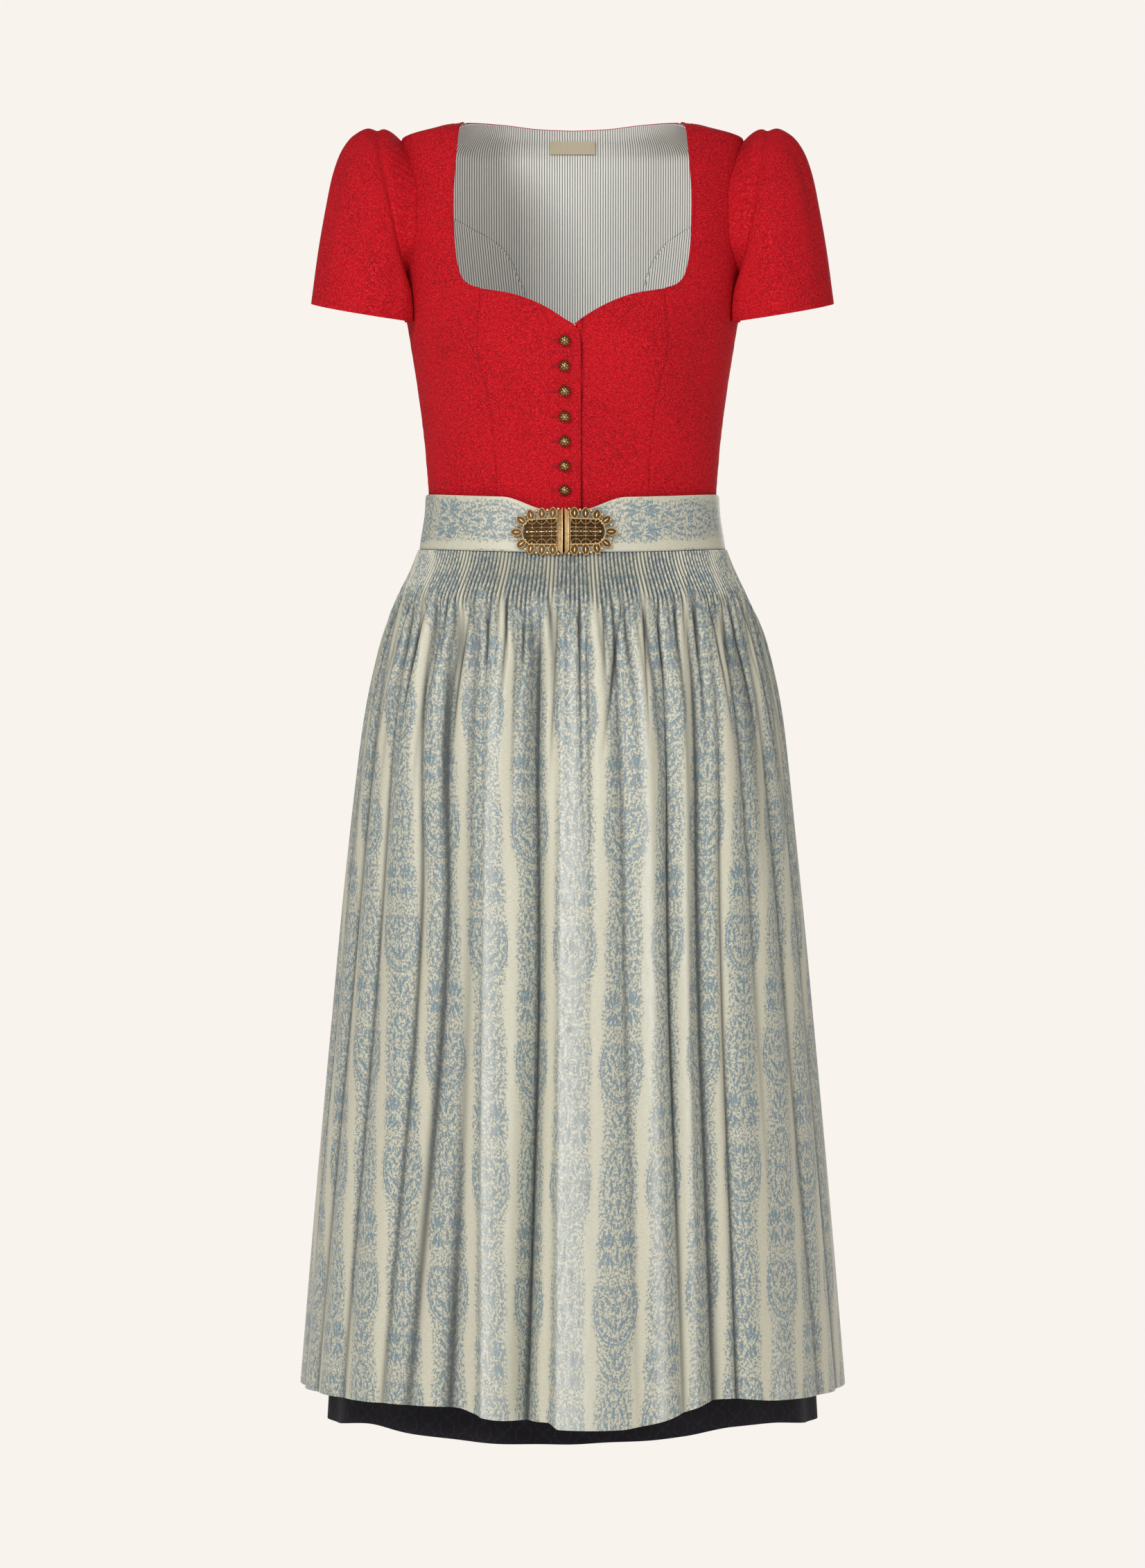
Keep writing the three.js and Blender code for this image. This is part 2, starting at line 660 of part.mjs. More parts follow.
// The middle of the back spans both sides, so its angles run on past 180 degrees.
function backMiddle() {
  const edge = (hand) => {
    const armhole = backwards(cutLine(ARMHOLE_BACK.slice(0, 3), hand, true));
    const lines = [backSeam(hand), armhole, shoulderSeam(hand)];
    const turned = (line) => (share) => {
      const { angle, height } = line(share);
      return { angle: angle < 0 ? angle + 360 : angle, height };
    };
    return joined(BACK_CORNERS, lines.map((line) => aside(turned(line), hand * HALF_GAP)));
  };
  const neckHalf = cutLine(BACK_NECK, 1, true);
  const top = (share) => {
    const { angle, height } = neckHalf(share < 0.5 ? share * 2 : 2 - share * 2);
    return { angle: share < 0.5 ? angle : 360 - angle, height };
  };
  const left = edge(1);
  const right = edge(-1);
  const bottom = level(left(0).angle, right(0).angle);
  return {
    left: pinEnds(left, bottom(0), left(1)),
    right: pinEnds(right, bottom(1), right(1)),
    bottom,
    top: pinEnds(top, left(1), right(1)),
  };
}
const BACK_COLUMNS = [
  0, 0.05, 0.1, 0.16, 0.23, 0.31, 0.4, 0.5, 0.6, 0.69, 0.77, 0.84, 0.9, 0.95, 1,
];
const BACK_MIDDLE_ROWS = [
  ...BACK_ROWS.map((share) => share * BACK_CORNERS[0]),
  ...[0.3, 0.55, 0.75, 0.9, 1].map((share) => mix(BACK_CORNERS[0], BACK_CORNERS[1], share)),
  ...[0.35, 0.7, 1].map((share) => mix(BACK_CORNERS[1], 1, share)),
];

[-1, 1].forEach((hand) => {
  frontSide(hand);
  frontMiddle(hand);
  bodicePanel(hand < 0 ? "back_side_right" : "back_side_left", backSide(hand), 7, BACK_ROWS);
});
bodicePanel("back_middle", backMiddle(), BACK_COLUMNS, BACK_MIDDLE_ROWS);

// Lining: striped cloth inside the back, where it shows through the neck.
function liningPanel(name, edges, columns, rows) {
  const place = patch(edges);
  const surface = (across, up, out) => {
    const { angle, height } = place(across, up);
    return torsoPoint(angle, height, out);
  };
  const geometry = sheet(columns, rows, surface, -SEAM_GAP - LINING_WALL, -SEAM_GAP);
  add(name, geometry, COLOURS.stripes);
}
[-1, 1].forEach((hand) => {
  liningPanel(hand < 0 ? "lining_side_right" : "lining_side_left", backSide(hand), 7, BACK_ROWS);
});
liningPanel("lining_middle", backMiddle(), BACK_COLUMNS, BACK_MIDDLE_ROWS);

// The label at the back of the neck is a bare strip of woven tape.
const LABEL = { halfWidth: 20.5, top: -0.5, bottom: -11, wall: 0.8 };
const labelPoint = (across, up, out) => {
  const height = mix(LABEL.bottom, LABEL.top, up);
  const x = mix(LABEL.halfWidth, -LABEL.halfWidth, across);
  return torsoPoint(180 - torso.angleOf(x, height), height, out);
};
const LABEL_GAP = 1.15;
const labelFront = -SEAM_GAP - LINING_WALL - LABEL_GAP;
add("label", sheet(6, 1, labelPoint, labelFront - LABEL.wall, labelFront), COLOURS.label);

// Sleeves: a tube from the armhole to the cuff, full at the head and clear of the bodice's side.
function sleeve(hand) {
  const shareOf = (name) => column(SLEEVE, "share", name);
  const topX = shareOf("topX");
  const topHeight = shareOf("topHeight");
  const underX = shareOf("underX");
  const underHeight = shareOf("underHeight");
  const depth = shareOf("depth");
  const frontHole = cutLine(ARMHOLE_FRONT, 1);
  const backHole = cutLine(ARMHOLE_BACK, 1, true);
  const start = (turn) => {
    const { angle, height } = turn <= 0.5 ? frontHole(turn * 2) : backHole((1 - turn) * 2);
    return torsoPoint(angle, height, BODICE_WALL + 2 * SEAM_GAP + SLEEVE_WALL / 2);
  };
  // Turned from the top over the front to the underarm, and up the back again.
  const middle = (share, turns) => {
    const turn = (turns + 1) % 1;
    const top = new THREE.Vector3(topX(share), 0, topHeight(share));
    const under = new THREE.Vector3(underX(share), 0, underHeight(share));
    const centre = top.clone().add(under).multiplyScalar(0.5);
    const reach = top.clone().sub(centre);
    const up = cos(2 * PI * turn);
    const forward = sin(2 * PI * turn);
    const squared = up > 0 ? up : -pow(-up, SLEEVE_SQUARE.under);
    const point = centre.addScaledVector(reach, squared);
    point.y = -depth(share) * sign(forward) * pow(abs(forward), SLEEVE_SQUARE.front);
    point.z += (CUFF_TILT * ramp(SLEEVE_TILTS, 1, share) * point.y) / depth(share);
    point.lerp(start(turn), 1 - ramp(0, SLEEVE_FREE, share));
    const clear = torso.halfWidthAt(point.y, point.z) + SLEEVE_CLEARANCE;
    const over = point.x - clear;
    point.x = clear + (over + sqrt(over * over + SLEEVE_SOFTNESS * SLEEVE_SOFTNESS)) / 2;
    return point;
  };
  const STEP = 0.004;
  const surface = (share, turn, out) => {
    const point = middle(share, turn);
    const along = middle(min(1, share + STEP), turn).sub(middle(max(0, share - STEP), turn));
    const round = middle(share, turn + STEP).sub(middle(share, turn - STEP));
    point.addScaledVector(round.cross(along).normalize(), out);
    if (hand < 0) point.x = -point.x;
    return point;
  };
  const columns = 22;
  const rows = SLEEVE.map((row) => row.share).reverse();
  const face = (out) =>
    rows.map((share) =>
      shares(columns)
        .slice(0, -1)
        .map((across) => {
          const turn = hand < 0 ? across : (1 - across) % 1;
          return { share: across, point: surface(share, turn, out) };
        }),
    );
  const half = SLEEVE_WALL / 2;
  add(hand < 0 ? "sleeve_right" : "sleeve_left", wall(face(half), face(-half), true), COLOURS.red);
}
[-1, 1].forEach(sleeve);

// A smooth row of points round the body, spread evenly along the cloth, so that a fold that is
// deep takes as much cloth as it needs. Every row has the same share at the same thread.
const DENSE = 900;
function spreadRow(curve, from, to, count) {
  const dense = shares(DENSE).map((share) => curve(mix(from, to, share)));
  const run = [0];
  for (let i = 1; i <= DENSE; i += 1) run.push(run[i - 1] + dense[i].distanceTo(dense[i - 1]));
  let i = 0;
  return shares(count).map((share) => {
    const target = share * run[DENSE];
    while (i < DENSE - 1 && run[i + 1] < target) i += 1;
    const part = (target - run[i]) / (run[i + 1] - run[i]);
    return mix(from, to, (i + part) / DENSE);
  });
}

// Dark skirt, a front and a back panel joined at the side seams, gathered into the waist.
const skirtHem = column(SKIRT_HEM, "angle", "height");
// Full folds behind, which start past the apron's edges, and slight waves under the apron. Each
// kind is a wave round the body whose spacing and depth drift a little.
const BACK_FOLDS = { from: 95, to: 125, grown: 0.25, atWaist: 1.2, atHem: 6.5 };
const BACK_DRIFT = { waves: 5, amount: 1.3, start: 0.6, depthWaves: 7, depth: 0.2 };
const FRONT_FOLDS = { waves: 17, depth: 2, driftWaves: 4, drift: 0.8 };
function skirtGathers(angle, share) {
  const turn = radians(angle > 180 ? angle - 360 : angle);
  const behind = ramp(radians(BACK_FOLDS.from), radians(BACK_FOLDS.to), abs(turn));
  const grown = ramp(0, BACK_FOLDS.grown, share);
  const drift = BACK_DRIFT.amount * sin(turn * BACK_DRIFT.waves + BACK_DRIFT.start);
  const depth = 1 - BACK_DRIFT.depth + BACK_DRIFT.depth * sin(turn * BACK_DRIFT.depthWaves);
  const fold = mix(BACK_FOLDS.atWaist, BACK_FOLDS.atHem, grown) * depth;
  const back = behind * fold * cos(turn * SKIRT_BACK_FOLDS * 2 + drift);
  const sway = FRONT_FOLDS.drift * sin(turn * FRONT_FOLDS.driftWaves);
  const wave = FRONT_FOLDS.depth * cos(turn * FRONT_FOLDS.waves + sway);
  return back + (1 - behind) * grown * wave;
}
function skirtPoint(angle, share, out) {
  const turn = angle > 180 ? angle - 360 : angle;
  const height = mix(skirtHem(turn), waistHeight(turn) - SEAM_GAP, share);
  const gathers = skirtGathers(turn, 1 - share);
  return skirt.at(turn, height).addScaledVector(skirt.outwards(turn, height), gathers + out);
}
const SKIRT_ROWS = [0, 0.3, 0.56, 0.77, 0.9, 0.968, 1];
function skirtPanel(name, from, to, columns) {
  const rows = SKIRT_ROWS.map((up) => ({
    up,
    angles: spreadRow((angle) => skirtPoint(angle, up, 0), from, to, columns),
  }));
  const normalAt = (angle, up) => {
    const across = skirtPoint(angle + 0.2, up, 0).sub(skirtPoint(angle - 0.2, up, 0));
    const rise = skirtPoint(angle, min(1, up + 0.01), 0).sub(skirtPoint(angle, up - 0.01, 0));
    return across.cross(rise).normalize();
  };
  const face = (out) =>
    rows.map(({ up, angles }) =>
      angles.map((angle, i) => ({
        share: i / columns,
        point: skirtPoint(angle, up, 0).addScaledVector(normalAt(angle, up), out),
      })),
    );
  add(name, wall(face(SKIRT_WALL), face(0)), COLOURS.dark);
}
const SKIRT_SEAM = 90;
const SEAM_TURN = 0.06;
skirtPanel("skirt_front", -SKIRT_SEAM + SEAM_TURN, SKIRT_SEAM - SEAM_TURN, 30);
skirtPanel("skirt_back", SKIRT_SEAM + SEAM_TURN, 360 - SKIRT_SEAM - SEAM_TURN, 70);

// Apron: one gathered width of brocade. Fine stitched pleats stand under the band and open into
// folds that grow towards the hem.
const apronHem = column(APRON_HEM, "angle", "height");
const foldCurves = FOLDS.map((fold) => {
  const places = [
    { down: FOLD_UPPER, angle: fold.pleats, depth: fold.upper },
    { down: FOLD_MIDDLE, angle: fold.middle, depth: fold.mid },
    { down: 1, angle: fold.hem, depth: fold.low },
  ];
  return {
    angle: column(places, "down", "angle"),
    depth: column([{ down: FOLD_STARTS, depth: 0 }, ...places], "down", "depth"),
    left: fold.left,
    right: fold.right,
  };
});
function apronFolds(angle, down) {
  return foldCurves.reduce((sum, fold) => {
    const off = angle - fold.angle(down);
    const away = off / (off < 0 ? fold.left : fold.right);
    return sum + fold.depth(down) * exp(-away * away);
  }, 0);
}
// A place on the apron, by how far down its length it is and how far out from its outer face.
function apronPoint(angle, down, out) {
  const top = bandBottom(angle) - SEAM_GAP;
  const height = mix(top, apronHem(angle), down);
  return apron
    .at(angle, height)
    .addScaledVector(apron.outwards(angle, height), apronFolds(angle, down) + out);
}
function apronNormal(angle, down) {
  const across = apronPoint(angle + 0.15, down, 0).sub(apronPoint(angle - 0.15, down, 0));
  const rise = apronPoint(angle, max(0, down - 0.004), 0).sub(apronPoint(angle, down + 0.004, 0));
  return across.cross(rise).normalize();
}
const APRON_ROWS = [1, 0.84, 0.67, 0.51, 0.38, 0.28, 0.2, 0.145, 0.1];
const PLEAT_ROWS = [0.052, 0.027, 0];
function apronPanel() {
  const edge = APRON_EDGE_ANGLE;
  const row = (down, count, out) => {
    const angles = spreadRow((angle) => apronPoint(angle, down, 0), -edge, edge, count);
    return angles.map((angle, i) => ({
      share: i / count,
      point: apronPoint(angle, down, 0).addScaledVector(apronNormal(angle, down), out(i)),
    }));
  };
  const folds = (out) => APRON_ROWS.map((down) => row(down, FOLD_COLUMNS, () => out));
  const crest = (i) => (i % 2 === 1 ? PLEAT_DEPTH : 0);
  const pleats = PLEAT_ROWS.map((down) => row(down, 2 * PLEATS, crest));
  const plain = PLEAT_ROWS.map((down) => row(down, FOLD_COLUMNS, () => -APRON_WALL));
  const geometry = wall([...folds(0), ...pleats], [...folds(-APRON_WALL), ...plain]);
  add("apron_panel", geometry, COLOURS.brocade);
}
apronPanel();

// Band: runs round the back from one half of the buckle to the other, and is gathered in to it.
const bandCentre = band.angleOf(BUCKLE_MIDDLE.x, BUCKLE_MIDDLE.height);
function bandPoint(across, up, out) {
  const angle = mix(bandCentre + BAND_GAP, bandCentre - BAND_GAP + 360, across);
  const turn = angle > 180 ? angle - 360 : angle;
  const off = abs(band.at(turn, BUCKLE_MIDDLE.height).x - BUCKLE_MIDDLE.x);
  const near = abs(turn) < 90 ? 1 - ramp(BAND_GATHERS.full, BAND_GATHERS.end, off) : 0;
  const height = mix(bandBottom(turn), bandTop(turn) - BAND_DROP * near, up);
  const crease = near * BAND_CREASE * sin(up * 3 * PI);
  return band.at(turn, height).addScaledVector(band.outwards(turn, height), out + crease);
}
// Closer columns near the buckle, where the band is gathered.
const BAND_NEAR = 0.11;
const bandHalf = [
  ...shares(9).map((share) => share * BAND_NEAR),
  ...shares(14).slice(1).map((share) => mix(BAND_NEAR, 0.5, share)),
];
const bandColumns = [...bandHalf, ...bandHalf.slice(0, -1).reverse().map((share) => 1 - share)];
add("apron_band", sheet(bandColumns, 4, bandPoint, 0, BAND_WALL), COLOURS.brocade);

// Buttons: domed metal, sitting on the edge of the upper front.
const BUTTON_PROFILE = [
  [0, 0],
  [0.72, 0],
  [0.98, 0.3],
  [0.96, 0.62],
  [0.62, 1.08],
  [0, 1.24],
].map(([radius, rise]) => new THREE.Vector2(radius * BUTTON_RADIUS, rise * BUTTON_RADIUS));
for (let i = 0; i < BUTTON_COUNT; i += 1) {
  const height = BUTTON_TOP - i * BUTTON_PITCH;
  const angle = torso.angleOf(BUTTON_LINE, height);
  const seat = torsoPoint(angle, height, BODICE_WALL + OVERLAP_LIFT + BUTTON_GAP);
  const facing = seat.clone().sub(torsoPoint(angle, height, 0)).normalize();
  const button = add(`button_${i + 1}`, new THREE.LatheGeometry(BUTTON_PROFILE, 12), COLOURS.brass);
  button.position.copy(seat);
  button.quaternion.setFromUnitVectors(new THREE.Vector3(0, 1, 0), facing);
}

// Buckle: two pierced halves that meet at two upright bars. Places are from the middle outwards
// and up, for the upper edge; the lower edge is its mirror image.
const BUCKLE_EDGE = [
  [0.7, 15.8], [3.8, 17], [6.4, 20.2], [8.6, 21], [10.8, 20.2], [13.2, 17.4], [15.6, 20],
  [17.8, 20.8], [20, 19.8], [22.6, 16.8], [25.6, 19.2], [28, 19.6], [30.2, 17.8], [32.4, 13.8],
  [36.4, 14.2], [38.9, 13.2], [39.8, 10.4], [40.2, 5.8], [44, 2.8],
];
const BUCKLE_TIP = [46.4, 0];
const PEARLS = [
  { out: 4.4, up: 18.6 },
  { out: 13.2, up: 18.6 },
  { out: 22.8, up: 18 },
  { out: 33, up: 15.2 },
  { out: 41, up: 7 },
];
const PEARL_RADIUS = 1.5;
const BAR = { width: 4, height: 41, thick: 2.2 };
const WINDOW_SIDES = 8;
const WINDOWS = [
  { out: 10.2, up: 5, halfWidth: 3.2, halfHeight: 2.5 },
  { out: 18.6, up: 5, halfWidth: 3.2, halfHeight: 2.5 },
  { out: 26.6, up: 5, halfWidth: 3, halfHeight: 2.4 },
];

const wasm = await Module();
wasm.setup();
function solidOf(geometry) {
  const bare = geometry.clone();
  bare.deleteAttribute("normal");
  bare.deleteAttribute("uv");
  const merged = mergeVertices(bare, 1e-4);
  const triangles = [];
  for (let i = 0; i < merged.index.count; i += 3) {
    const [a, b, c] = merged.index.array.slice(i, i + 3);
    if (a !== b && b !== c && c !== a) triangles.push(a, b, c);
  }
  const mesh = new wasm.Mesh({
    numProp: 3,
    vertProperties: merged.getAttribute("position").array,
    triVerts: new Uint32Array(triangles),
  });
  return new wasm.Manifold(mesh);
}
function geometryOf(solid) {
  const mesh = solid.getMesh();
  const geometry = new THREE.BufferGeometry();
  geometry.setAttribute("position", new THREE.BufferAttribute(mesh.vertProperties, 3));
  geometry.setIndex(new THREE.BufferAttribute(mesh.triVerts, 1));
  geometry.computeVertexNormals();
  return geometry;
}

function buckleHalf(hand) {
  const lower = [...BUCKLE_EDGE].reverse().map(([out, up]) => [out, -up]);
  const outline = [...BUCKLE_EDGE, BUCKLE_TIP, ...lower];
  const shape = new THREE.Shape(outline.map(([out, up]) => new THREE.Vector2(out, up)));
  for (const side of [-1, 1]) {
    for (const { out, up, halfWidth, halfHeight } of WINDOWS) {
      const rim = shares(WINDOW_SIDES).slice(1).map((share) => {
        const turn = 2 * PI * share;
        return new THREE.Vector2(out + halfWidth * cos(turn), side * up + halfHeight * sin(turn));
      });
      shape.holes.push(new THREE.Path(rim));
    }
  }
  const settings = { depth: BUCKLE_THICK, bevelEnabled: false };
  let solid = solidOf(new THREE.ExtrudeGeometry(shape, settings));
  const bar = new THREE.BoxGeometry(BAR.width, BAR.height, BAR.thick);
  bar.translate(0.7 + BAR.width / 2, 0, BAR.thick / 2);
  solid = solid.add(solidOf(bar));
  for (const side of [-1, 1]) {
    for (const { out, up } of PEARLS) {
      const pearl = new THREE.SphereGeometry(PEARL_RADIUS, 6, 4);
      pearl.translate(out, side * up, BUCKLE_THICK);
      solid = solid.add(solidOf(pearl));
    }
  }
  const geometry = geometryOf(solid);
  // The plate is drawn lying down, and is then stood up to face the front.
  if (hand < 0) geometry.rotateZ(PI);
  geometry.rotateX(PI / 2);
  const half = add(hand < 0 ? "buckle_right" : "buckle_left", geometry, COLOURS.brass);
  const seat = band.at(bandCentre, BUCKLE_MIDDLE.height);
  half.position.set(BUCKLE_MIDDLE.x, seat.y - BAND_WALL - BUCKLE_LIFT, BUCKLE_MIDDLE.height);
  half.rotation.z = radians(hand < 0 ? -BUCKLE_TILTS.right : BUCKLE_TILTS.left);
  half.rotation.x = radians(-BUCKLE_LEAN);
}
[-1, 1].forEach(buckleHalf);

export default dirndl;
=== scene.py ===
# %% [markdown]
# A dirndl, dressed piece by piece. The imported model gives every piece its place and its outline.
# Here each one becomes cloth, thread or metal: thin shells with seams, pleats and folds, sewing
# on top, and finishes that are all worked out by nodes.

# %% Load the frame
import math

import bmesh
import bpy
import numpy as np
from mathutils import Matrix, Vector


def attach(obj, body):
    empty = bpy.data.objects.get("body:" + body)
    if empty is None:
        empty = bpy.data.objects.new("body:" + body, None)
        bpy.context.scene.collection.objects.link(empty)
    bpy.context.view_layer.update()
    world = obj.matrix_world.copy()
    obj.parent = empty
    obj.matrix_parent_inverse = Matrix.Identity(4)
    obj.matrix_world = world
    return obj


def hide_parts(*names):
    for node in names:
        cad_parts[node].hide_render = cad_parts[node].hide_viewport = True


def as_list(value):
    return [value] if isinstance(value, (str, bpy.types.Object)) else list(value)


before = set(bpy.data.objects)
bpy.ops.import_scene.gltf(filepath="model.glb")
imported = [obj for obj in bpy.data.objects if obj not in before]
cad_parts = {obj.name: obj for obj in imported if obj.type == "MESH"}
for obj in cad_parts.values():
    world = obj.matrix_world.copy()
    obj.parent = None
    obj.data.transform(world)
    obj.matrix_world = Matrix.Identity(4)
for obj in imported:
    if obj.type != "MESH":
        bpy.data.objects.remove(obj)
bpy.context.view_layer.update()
MM = 0.001
print("nodes to dress:", len(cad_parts))

# %% [markdown]
# A garment is cut by tables: how wide and how deep the body is at each height, and where the
# seams run. The tables are in millimetres, as a cutter's are. A smooth curve goes through each
# column of a table, made of cubic pieces that never swing past the rows, so a waist stays the
# narrowest place. Whole arrays of points go through the same few functions at once.

# %% Tables and smooth curves
def table(names, *rows):
    """Rows with named columns."""
    return [dict(zip(names.split(), row)) for row in rows]


def smooth_column(rows, key, name):
    """A smooth curve through one column of a table, as a function of another."""
    ordered = sorted(rows, key=lambda row: row[key])
    xs = np.array([row[key] for row in ordered], float)
    ys = np.array([row[name] for row in ordered], float)
    steps = np.diff(xs)
    slopes = np.diff(ys) / steps
    before = np.concatenate([slopes[:1], slopes])
    after = np.concatenate([slopes, slopes[-1:]])
    level = before * after <= 0
    tangents = np.where(level, 0, 2 * before * after / np.where(level, 1, before + after))

    def curve(x):
        x = np.clip(x, xs[0], xs[-1])
        i = np.clip(np.searchsorted(xs, x) - 1, 0, len(steps) - 1)
        t = (x - xs[i]) / steps[i]
        rise = ys[i + 1] - ys[i]
        a = tangents[i] * steps[i]
        b = tangents[i + 1] * steps[i]
        return ys[i] + t * (a + t * (3 * rise - 2 * a - b + t * (a + b - 2 * rise)))

    return curve


def mix(a, b, share):
    return a + (b - a) * share


def ramp(low, high, value):
    """0 below low and 1 above high, with soft ends."""
    share = np.clip((value - low) / (high - low), 0, 1)
    return share * share * (3 - 2 * share)


def bell(offset):
    """A soft bump: 1 in its middle, and dying away over a few units of offset."""
    return np.exp(-(offset**2))


def unit(vectors):
    return vectors / np.linalg.norm(vectors, axis=-1, keepdims=True)


def run_of(points):
    """How far along a row of points each one lies, from 0 to 1."""
    run = np.concatenate([[0], np.cumsum(np.linalg.norm(np.diff(points, axis=0), axis=-1))])
    return run / run[-1]


# %% [markdown]
# Cloth lies on rings round the body. A ring is a squared ellipse with its own depth at the front
# and at the back. An angle on it is counted in degrees from the middle of the front: 90 is the
# viewer's right side and 180 the middle of the back.

# %% Rings
class Rings:
    """The rings of a body or a garment, as functions of height."""

    def __init__(self, rows):
        self.side = smooth_column(rows, "height", "side")
        self.front = smooth_column(rows, "height", "front")
        self.back = smooth_column(rows, "height", "back")
        self.square = smooth_column(rows, "height", "square")

    def at(self, angle, height):
        angle, height = np.broadcast_arrays(np.asarray(angle, float), np.asarray(height, float))
        across = np.sin(np.radians(angle))
        along = np.cos(np.radians(angle))
        power = 2 / self.square(height)
        depth = np.where(along > 0, -self.front(height), self.back(height))
        x = self.side(height) * np.sign(across) * np.abs(across) ** power
        return np.stack([x, depth * np.abs(along) ** power, height], -1)

    def outwards(self, angle, height):
        """The outward direction of the rings' surface."""
        point = self.at(angle, height)
        side = self.side(point[..., 2])
        depth = np.where(point[..., 1] < 0, self.front(point[..., 2]), self.back(point[..., 2]))
        power = self.square(point[..., 2]) - 1
        x = np.sign(point[..., 0]) * (np.abs(point[..., 0]) / side) ** power / side
        y = np.sign(point[..., 1]) * (np.abs(point[..., 1]) / depth) ** power / depth
        around = unit(np.stack([-y, x, np.zeros_like(x)], -1))
        up = self.at(angle, point[..., 2] + 1) - self.at(angle, point[..., 2] - 1)
        return unit(np.cross(around, up))

    def angle_of(self, x, height):
        share = np.minimum(1, np.abs(x) / self.side(height))
        return np.degrees(np.sign(x) * np.arcsin(share ** (self.square(height) / 2)))

    def half_width_at(self, y, height):
        depth = np.where(y < 0, self.front(height), self.back(height))
        square = self.square(height)
        rest = 1 - np.minimum(1, np.abs(y) / depth) ** square
        return self.side(height) * rest ** (1 / square)


torso = Rings(table(
    "height side front back square",
    (14, 80, 30, 72, 2.2),
    (0, 93, 40, 82, 2.2),
    (-9, 121, 54, 88, 2.3),
    (-18, 147, 64, 92, 2.4),
    (-50, 150.5, 84, 98, 2.5),
    (-100, 149.5, 101, 102, 2.5),
    (-150, 145.5, 111, 102, 2.4),
    (-194, 138.6, 115, 98, 2.3),
    (-242, 131.1, 109, 93, 2.3),
    (-290, 125.6, 98, 88, 2.3),
    (-335, 122.8, 91.5, 86, 2.3),
    (-360, 123.5, 91, 88, 2.3),
))
band = Rings(table(
    "height side front back square",
    (-320, 125.4, 97.5, 89.8, 2.3),
    (-338, 126.2, 98, 90.8, 2.3),
    (-360, 129.4, 100, 95.5, 2.3),
    (-384, 133.2, 104.5, 101.5, 2.25),
))
skirt = Rings(table(
    "height side front back square",
    (-348, 124.3, 92.5, 87.5, 2.3),
    (-372, 129.0, 98, 93, 2.25),
    (-392, 135.5, 103, 102, 2.2),
    (-420, 146, 109, 116, 2.15),
    (-460, 156, 114, 130, 2.1),
    (-520, 167, 119, 145, 2.05),
    (-600, 177, 123, 157, 2.0),
    (-850, 194, 130, 181, 1.95),
    (-1125, 209.5, 138, 202, 1.9),
))
apron = Rings(table(
    "height side front back square",
    (-368, 131.4, 102.5, 97, 2.25),
    (-386, 138.4, 106.5, 104, 2.2),
    (-410, 149.6, 116.5, 119, 2.2),
    (-434, 159.6, 125, 132, 2.15),
    (-458, 167.5, 131, 142, 2.1),
    (-506, 178.4, 140, 155, 2.1),
    (-554, 185.5, 147, 164, 2.1),
    (-650, 196.4, 158, 176, 2.05),
    (-794, 210, 171, 190, 2.0),
    (-938, 223, 183, 203, 2.0),
    (-1100, 236.5, 196, 216, 2.0),
))

# %% [markdown]
# Real cloth on a body is never quite smooth. The bust is shaped by the seams into a rounded cup
# on each side, and a few soft troughs run where the cloth is drawn: under the arms, below the
# bust and above the waist. Each trough is placed one by one, and no two are alike. The lining lies
# on the same body, so it follows every one of them and never cuts through the red cloth.

# %% The body under the bodice
CUP = {"x": 60, "height": -208, "half_width": 34, "above": 30, "below": 44, "depth": 8}
CREASES = table(
    "x1 height1 x2 height2 width depth behind",
    (-122, -178, -104, -258, 8, -1.3, False),
    (112, -186, 98, -262, 7, -1.1, False),
    (-96, -320, -58, -306, 4, -0.9, False),
    (66, -310, 106, -324, 4.5, -1.0, False),
    (-44, -236, -36, -304, 6, -0.8, False),
    (50, -238, 42, -296, 5, -0.7, False),
    (-112, -96, -84, -136, 7, -0.9, False),
    (110, -88, 88, -132, 6, -0.8, False),
    (-66, -302, -16, -290, 5, -1.0, True),
    (26, -318, 86, -302, 5, -1.2, True),
    (-108, -170, -88, -236, 7, -0.9, True),
    (104, -150, 94, -226, 6, -0.8, True),
)


def crease_depth(point):
    """How far the troughs draw the cloth in at a place on the body."""
    total = np.zeros(point.shape[:-1])
    for crease in CREASES:
        start = np.array([crease["x1"], crease["height1"]])
        line = np.array([crease["x2"], crease["height2"]]) - start
        off = point[..., [0, 2]] - start
        share = np.clip(off @ line / (line @ line), 0, 1)
        away = np.linalg.norm(off - share[..., None] * line, axis=-1) / crease["width"]
        here = (point[..., 1] > 0) == crease["behind"]
        total += here * crease["depth"] * bell(away) * np.sin(np.pi * mix(0.15, 0.85, share))
    return total


# The corner where the shoulder meets the neck is rounded off.
NECK_CORNER = {"x": 95, "half_width": 9, "depth": 1.9, "from": -14, "full": -3}


def torso_point(angle, height, out):
    """A place on the worn bodice, so many millimetres outwards of the body."""
    point = torso.at(angle, height)
    above = point[..., 2] > CUP["height"]
    across = (np.abs(point[..., 0]) - CUP["x"]) / CUP["half_width"]
    along = (point[..., 2] - CUP["height"]) / np.where(above, CUP["above"], CUP["below"])
    cup = np.where(point[..., 1] > 0, 0, CUP["depth"] * bell(across) * bell(along))
    out = np.asarray(out + cup + crease_depth(point))
    placed = point + torso.outwards(angle, height) * out[..., None]
    corner = bell((np.abs(point[..., 0]) - NECK_CORNER["x"]) / NECK_CORNER["half_width"])
    high = ramp(NECK_CORNER["from"], NECK_CORNER["full"], point[..., 2])
    placed[..., 2] -= NECK_CORNER["depth"] * corner * high
    return placed


